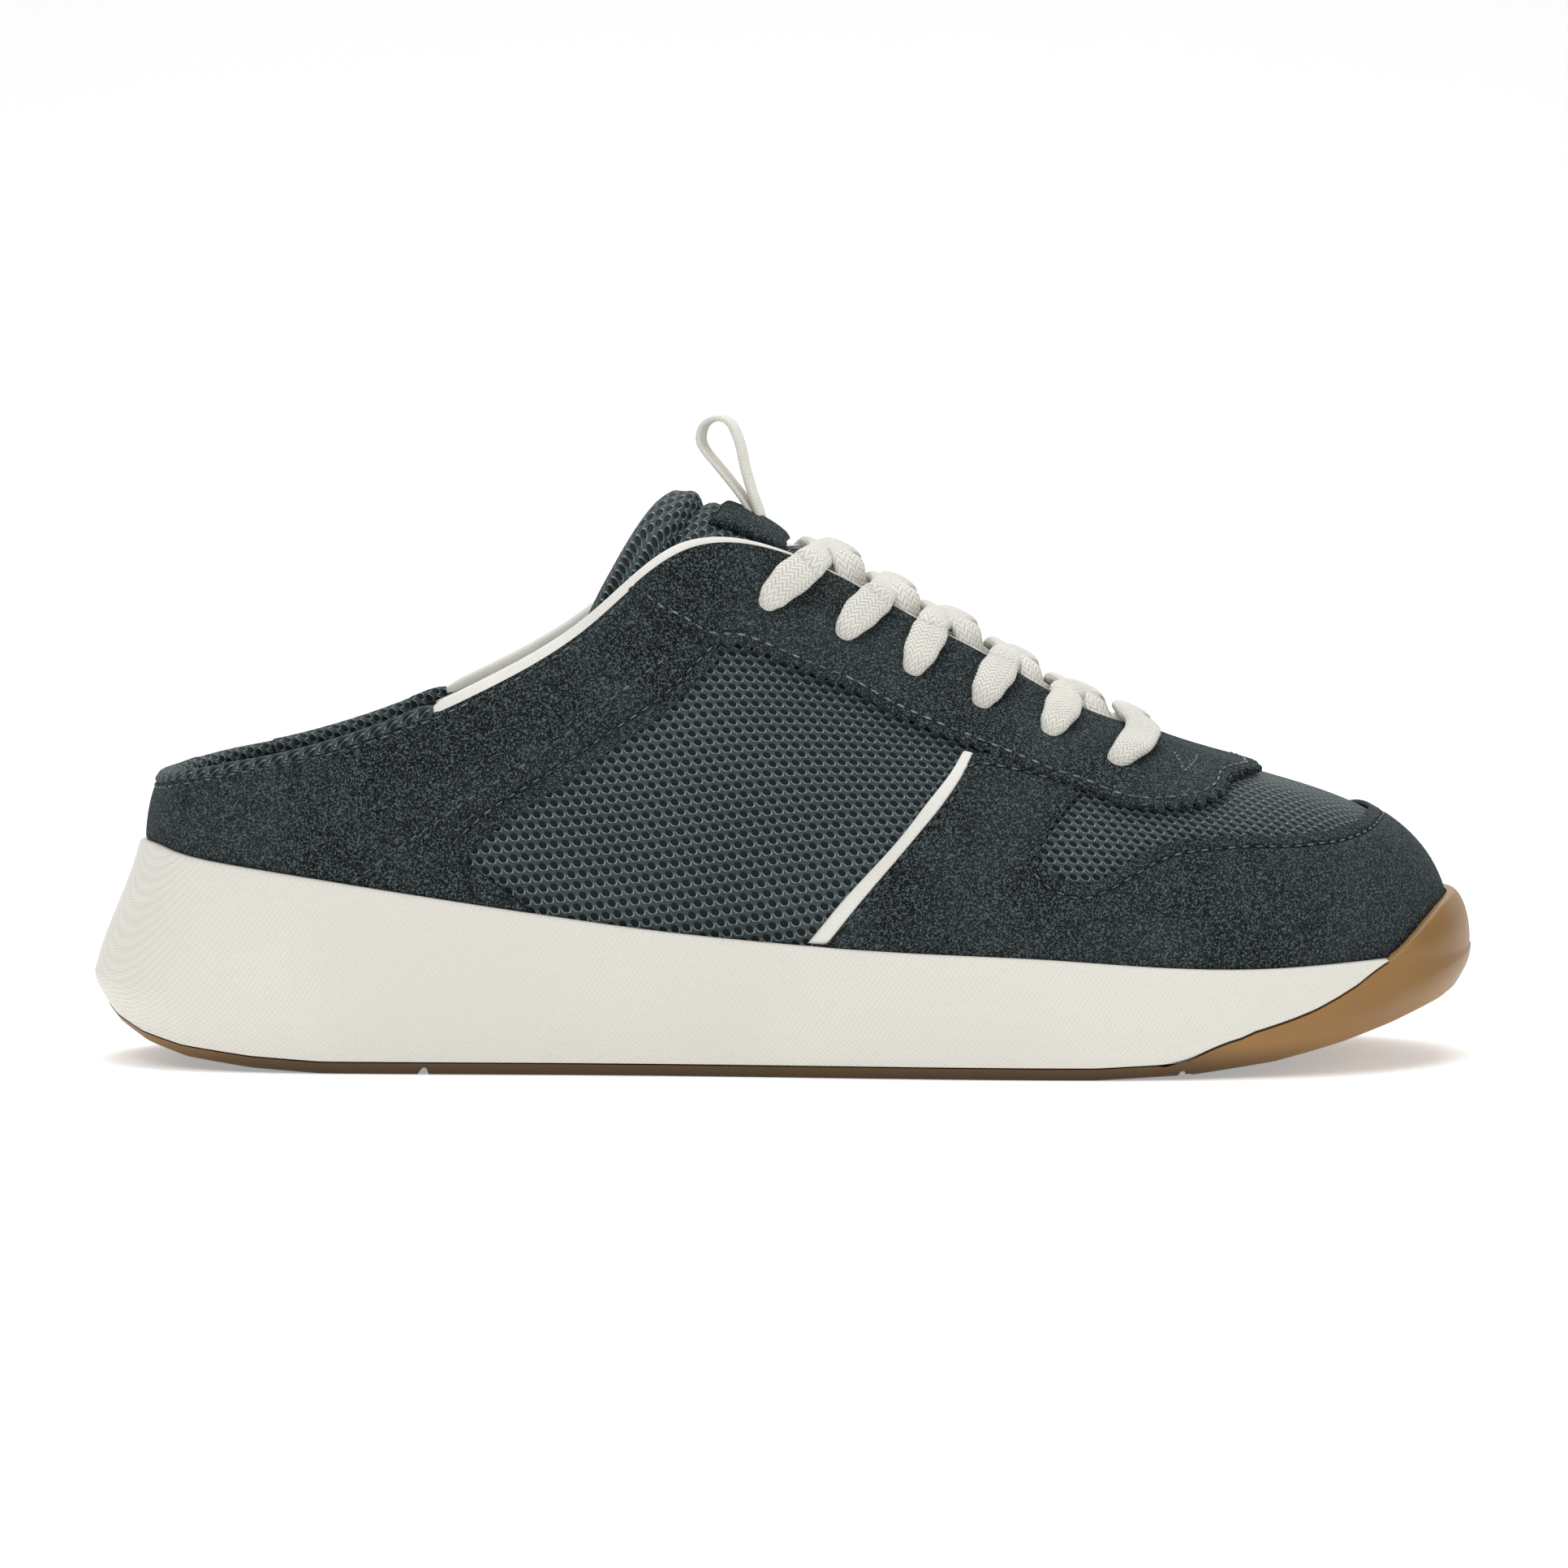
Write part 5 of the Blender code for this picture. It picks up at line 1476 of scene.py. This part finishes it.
class Finishes:
    """Every material of the shoe, with the groups that they share."""

    def __init__(self) -> None:
        """Makes the shared groups."""
        self.nap, self.netting = nap_group(), netting_group()
        self.braid, self.mottle = braid_group(), mottle_group()

    def suede(self) -> Material:
        """Dark slate suede with a brushed nap."""
        look = Look("suede_nap", 0.95, 0.08, 0.05, Colour(0.45, 0.60, 0.64))
        g = look.graph
        nap = g.group(self.nap, vector=g.where())
        shade = g.mix(nap["Patch"], SLATE.rgba(0.25), SLATE.rgba(0.70))
        look.set("Base Color", g.mix(g.times(nap["Fleck"], 0.85), shade, SLATE_FLECK.rgba()))
        look.set("Roughness", g.math("MULTIPLY_ADD", nap["Patch"], -0.08, 0.97))
        look.bump(nap["Height"], 0.0005, 0.8)
        return look.material

    def mesh(self) -> Material:
        """Slate knitted mesh, its holes painted near-black as shade and its thread arcs lit by a painted highlight."""
        look = Look("mesh_fabric", 0.62, 0.15, 0.04, Colour(0.5, 0.65, 0.68))
        g = look.graph
        net = g.group(self.netting, vector=g.flat())
        marks = g.group(self.mottle, vector=g.where(), scale=24.0)
        body = g.mix(marks["Mask"], SLATE_MESH.rgba(0.82), SLATE_MESH.rgba(1.10))
        # Painted highlight: the thread arcs take a much lighter slate.
        threads = g.mix(net["Highlight"], body, SLATE_THREAD_GLINT.rgba())
        # Painted shade: the holes are filled near-black.
        look.set("Base Color", g.mix(net["Hole"], threads, HOLE_SHADE.rgba()))
        look.bump(net["Height"], 0.0009, 1.0)
        return look.material

    def foam(self) -> Material:
        """Off-white moulded foam with a fine slanted knurl, its grooves painted darker as shade."""
        look = Look("foam_knurl", 0.55)
        g = look.graph
        axes = g.axes(g.where())
        marks = g.group(self.mottle, vector=g.where(), scale=18.0)
        round_it = g.math("MULTIPLY_ADD", axes["Y"], 0.6, axes["X"])
        waves = []
        for slant, pitch in ((-0.75, 0.00105), (1.6, 0.00125)):
            across = g.math("MULTIPLY_ADD", axes["Z"], slant, round_it)
            waves.append(g.times(g.math("SINE", g.times(across, 2 * math.pi / pitch)), 0.5))
        knurl = g.math("ADD", *waves)
        tone = g.mix(marks["Mask"], CREAM.rgba(0.99), CREAM.rgba(1.04))
        # Painted shade: the knurl's grooves take a darker cream.
        look.set("Base Color", g.mix(g.smooth(knurl, -0.9, 0.5), CREAM.rgba(0.93), tone))
        look.bump(g.math("MULTIPLY_ADD", marks["Fine"], 0.4, knurl), 0.00016, 0.35)
        return look.material

    def gum(self) -> Material:
        """Caramel gum rubber, darkened near the ground by painted shade."""
        look = Look("gum_rubber", 0.42)
        g = look.graph
        marks = g.group(self.mottle, vector=g.where(), scale=26.0)
        worn = g.mix(marks["Mask"], CARAMEL.rgba(0.86), CARAMEL.rgba(1.08))
        # Painted shade: the rubber's colour darkens towards the ground.
        low = g.smooth(g.axes(g.where())["Z"], 0.0002, 0.0085)
        look.set("Base Color", g.mix(low, CARAMEL.rgba(0.22), worn))
        look.set("Roughness", g.math("MULTIPLY_ADD", marks["Mask"], 0.12, 0.40))
        look.bump(marks["Fine"], 0.0002, 0.25)
        return look.material

    def cloth(self, name: str, colour: Colour, cell: float, slant: float, depth: float,
              shade: float = 0.80) -> Material:
        """White cotton in a braid, ribbon, tape or knit.

        Args:
            name: The material's name.
            colour: Its colour.
            cell: Width of its strands.
            slant: How far they slant.
            depth: Depth of its relief.
            shade: How light the painted shade in the grooves between strands is.

        Returns:
            The material.
        """
        look = Look(name, 0.88, sheen=0.25, tint=WHITE)
        g = look.graph
        braid = g.group(self.braid, vector=g.flat(), cell=cell, slant=slant)
        marks = g.group(self.mottle, vector=g.where(), scale=60.0)
        body = g.mix(marks["Mask"], colour.rgba(0.94), colour.rgba(1.04))
        # Painted shade: the grooves between the strands are darkened.
        look.set("Base Color", g.mix(braid["Ridge"], g.mix(shade, colour.rgba(0.45), body), body))
        look.bump(g.math("MULTIPLY_ADD", marks["Fine"], 0.5, braid["Height"]), depth, 0.9)
        return look.material

    def thread(self, name: str, gain: float) -> Material:
        """Slate sewing thread with a slight gloss, lighter by gain."""
        look = Look(name, 0.45, sheen=0.1)
        g = look.graph
        marks = g.group(self.mottle, vector=g.where(), scale=500.0)
        look.set("Base Color", g.mix(marks["Mask"], SLATE.rgba(gain * 0.6), SLATE.rgba(gain * 1.6)))
        look.bump(marks["Fine"], 0.0001, 0.6)
        return look.material

    def shadow(self) -> Material:
        """Painted shade for the dark inside of a punched hole."""
        look = Look("eyelet_shade", 0.95)
        g = look.graph
        marks = g.group(self.mottle, vector=g.where(), scale=900.0)
        darkest, dark = Colour(0.004, 0.005, 0.005), Colour(0.012, 0.015, 0.016)
        look.set("Base Color", g.mix(marks["Mask"], darkest.rgba(), dark.rgba()))
        return look.material


@dataclass
class Studio:
    """Pale floor, soft lights and the camera."""

    distance: float = 1.8
    elevation: float = 4.0
    aim: tuple[float, float, float] = (0, 0, 0.0593)
    focal_pixels: float = 10200.0
    frame_pixels: float = 1932.0
    sensor: float = 36.0
    glow: float = 0.34
    haze: float = 0.30
    half_width: float = 4.0
    front: float = -2.5
    bend: float = 2.0
    radius: float = 1.0
    height: float = 4.0
    lamps: tuple[tuple[str, tuple[float, float, float], float, float], ...] = (
        ("key", (-0.7, -1.6, 1.7), 1.2, 18), ("fill", (1.6, -1.4, 1.0), 1.6, 8),
        ("top", (0.1, 0.3, 2.0), 1.6, 30), ("back", (0.0, 1.6, 1.6), 1.5, 9),
    )

    def floor(self) -> None:
        """A pale sheet that curves up far behind the shoe."""
        profile = [(self.front, 0.0), (self.bend, 0.0)]
        for angle in np.arange(1, 13) / 12 * math.pi / 2:
            out, up = self.radius * math.sin(angle), self.radius * (1 - math.cos(angle))
            profile.append((self.bend + out, up))
        profile.append((self.bend + self.radius, self.height))
        sides = (-self.half_width, self.half_width)
        points = np.array([[(x, y, z) for x in sides] for y, z in profile])
        work = lattice(points, facing=np.tile([0.0, -0.5, 1.0], (len(profile), 2, 1)))
        mesh = bpy.data.meshes.new("studio_floor")
        work.to_mesh(mesh)
        work.free()
        mesh.shade_smooth()
        look = Look("studio_white", 0.7, specular=0.1)
        look.set("Base Color", STUDIO_GREY.rgba())
        look.set("Emission Color", WHITE.rgba())
        look.set("Emission Strength", self.glow)
        mesh.materials.append(look.material)
        obj = bpy.data.objects.new("studio_floor", mesh)
        bpy.context.scene.collection.objects.link(obj)

    def lamp(self, name: str, at: tuple[float, float, float], size: float, power: float) -> None:
        """A square soft light turned towards the shoe."""
        data = bpy.data.lights.new(name, "AREA")
        data.shape, data.size, data.energy = "SQUARE", size, power
        lamp = bpy.data.objects.new(name, data)
        lamp.location = at
        aim = Vector((0, 0, 0.05)) - Vector(at)
        lamp.rotation_euler = aim.to_track_quat("-Z", "Y").to_euler()
        bpy.context.scene.collection.objects.link(lamp)

    def camera(self) -> None:
        """The camera at the photograph's angle."""
        data = bpy.data.cameras.new("camera")
        data.sensor_width = self.sensor
        data.lens = self.sensor * self.focal_pixels / self.frame_pixels
        data.clip_start = 0.05
        camera = bpy.data.objects.new("camera", data)
        tilt, aim = math.radians(self.elevation), Vector(self.aim)
        camera.location = aim + self.distance * Vector((0, -math.cos(tilt), math.sin(tilt)))
        camera.rotation_euler = (aim - camera.location).to_track_quat("-Z", "Y").to_euler()
        bpy.context.scene.collection.objects.link(camera)
        bpy.context.scene.camera = camera

    def build(self) -> None:
        """Sets the stage."""
        self.camera()
        self.floor()
        for lamp in self.lamps:
            self.lamp(*lamp)
        world = bpy.data.worlds.new("studio")
        world.use_nodes = True
        background = world.node_tree.nodes["Background"]
        background.inputs["Color"].default_value = WHITE.rgba()
        background.inputs["Strength"].default_value = self.haze
        bpy.context.scene.world = world
        bpy.context.scene.view_settings.view_transform = "Standard"


@dataclass(frozen=True)
class Upholstery:
    """The suede layers, the stripes and the stitching on them."""

    suede: Material
    tape: Material
    thread: Material
    # The thread's lighter copy, a painted glint on the eyestay's stitches.
    light: Material
    stripe_height: float = 0.0013

    def stripe(self, name: str, node: str, pairs: Array) -> None:
        """Builds a plain raised strip between two borders, given as pairs of points."""
        line = smooth_curve(pairs, 12)
        shares = np.array([0, .04, .12, .25, .5, .75, .88, .96, 1])[:, None]
        places = line[:, 0] * (1 - shares) + line[:, 2] * shares
        climbs = line[:, 1] * (1 - shares) + line[:, 3] * shares
        height = self.stripe_height * (1 - np.abs(2 * shares - 1) ** 6) ** 0.5 + 0 * places
        height[:, 0] = height[:, -1] = 0
        front, back = on_upper(places, climbs, GAP + height), on_upper(places, climbs, 0.0)
        placed(name, pad(front, back, spread(front)), self.tape, [node], sharp=80)

    def stay_stitches(self, stay: Layer) -> list[BMesh]:
        """The eyestay's stitches: along its pinked border, and in a V at each lower tip."""
        offset = STAY_LIFT + GAP + LAYER
        rows = Stitching().row(stay.line(STAY_SEAM), offset)
        tip = np.array(TIP_PAIRS)
        for arm in (tip[:2], tip[1:]):
            arm = arm[0] + (arm[1] - arm[0]) * np.linspace(0, 1, 20)[:, None]
            for line in (arm, mirrored(arm)):
                rows += Stitching(length=0.0011, gap=0.0005).row(line, offset)
        return rows

    def seam_stitches(self, quarter: Layer, guard: Layer) -> list[BMesh]:
        """The stitches of the heel quarter and of the toe mudguard."""
        stitching, offset, sunk = Stitching(), GAP + LAYER, LAYER
        rows = stitching.row(quarter.line(EDGE_SEAM, from_upper=True), offset)
        second = smooth_curve(np.array(SEAM_PAIRS), 40)
        for line in quarter.folded_lines(FOLD_SEAM):
            rows += stitching.row(line, sunk)
        for line in (second, mirrored(second)):
            rows += stitching.row(line, offset)
        return rows + stitching.row(guard.line(FOLD_SEAM, from_upper=True), sunk)

    def build(self) -> None:
        """Builds and dresses every layer, then its stitches and the stripes."""
        quarter = Layer("heel_suede", ("heel_quarter",), QUARTER_PAIRS, Edge.FOLDED, Edge.TUCKED,
                        0.0, meets_sole=True)
        guard = Layer("toe_suede", ("toe_mudguard",), MUDGUARD_PAIRS, Edge.TUCKED, Edge.FOLDED, 0.5,
                      base=2 * GAP, thickness=LAYER - GAP)
        stay = Layer("eyestay_suede", ("eyestay",), EYESTAY_PAIRS, Edge.PINKED, Edge.TUCKED, 0.5,
                     base=GAP + STAY_LIFT, spacing=0.0006)
        for layer in (quarter, guard, stay):
            layer.build(self.suede)
        edging, seams = joined(self.stay_stitches(stay)), joined(self.seam_stitches(quarter, guard))
        # The eyestay's stitches take the lighter thread: a painted glint.
        placed("stitches_eyestay", edging, self.light, merge=0)
        placed("stitches", seams, self.thread, merge=0)
        pairs = np.array(STRIPE_PAIRS)
        self.stripe("stripe_outer", "stripe_lateral", pairs)
        self.stripe("stripe_inner", "stripe_medial", mirrored(pairs))


def main() -> None:
    """Loads the frame and builds every piece in order."""
    logging.basicConfig(level=logging.INFO, format="%(message)s")
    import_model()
    Studio().build()
    finishes = Finishes()
    suede, mesh = finishes.suede(), finishes.mesh()
    lace = finishes.cloth("lace_braid", ECRU, 0.0012, 1.0, 0.00035)
    tape = finishes.cloth("edge_tape", TAPE, 0.0006, 0.3, 0.00008, 0.92)
    ribbon = finishes.cloth("ribbon", ECRU, 0.0007, 0.6, 0.00012, 0.88)
    knit = finishes.cloth("lining_knit", KNIT, 0.0012, 0.5, 0.00025)
    bed = finishes.cloth("bed_cloth", BED, 0.0010, 0.5, 0.00018)
    # The second thread is a lighter copy that paints a glint on the eyestay's stitches.
    thread, light = finishes.thread("thread", 3.4), finishes.thread("thread_painted_glint", 5.0)
    # The eyelets' painted shade.
    dark = finishes.shadow()
    Sole().build(finishes.foam(), finishes.gum())
    Shell().build(mesh)
    Upholstery(suede, tape, thread, light).build()
    collar = Piping("collar_piping", .150, .850, .0021, .0009, nodes=("collar_binding",))
    collar.build(tape, Finish.COTTON)
    Piping("heel_edge", -.154, .154, .0026, .0026).build(mesh, Finish.MESH)
    Tongue().build(mesh, suede, ribbon)
    Lacing().build(lace, dark)
    Inside().build(bed, knit)


if __name__ == "__main__":
    main()
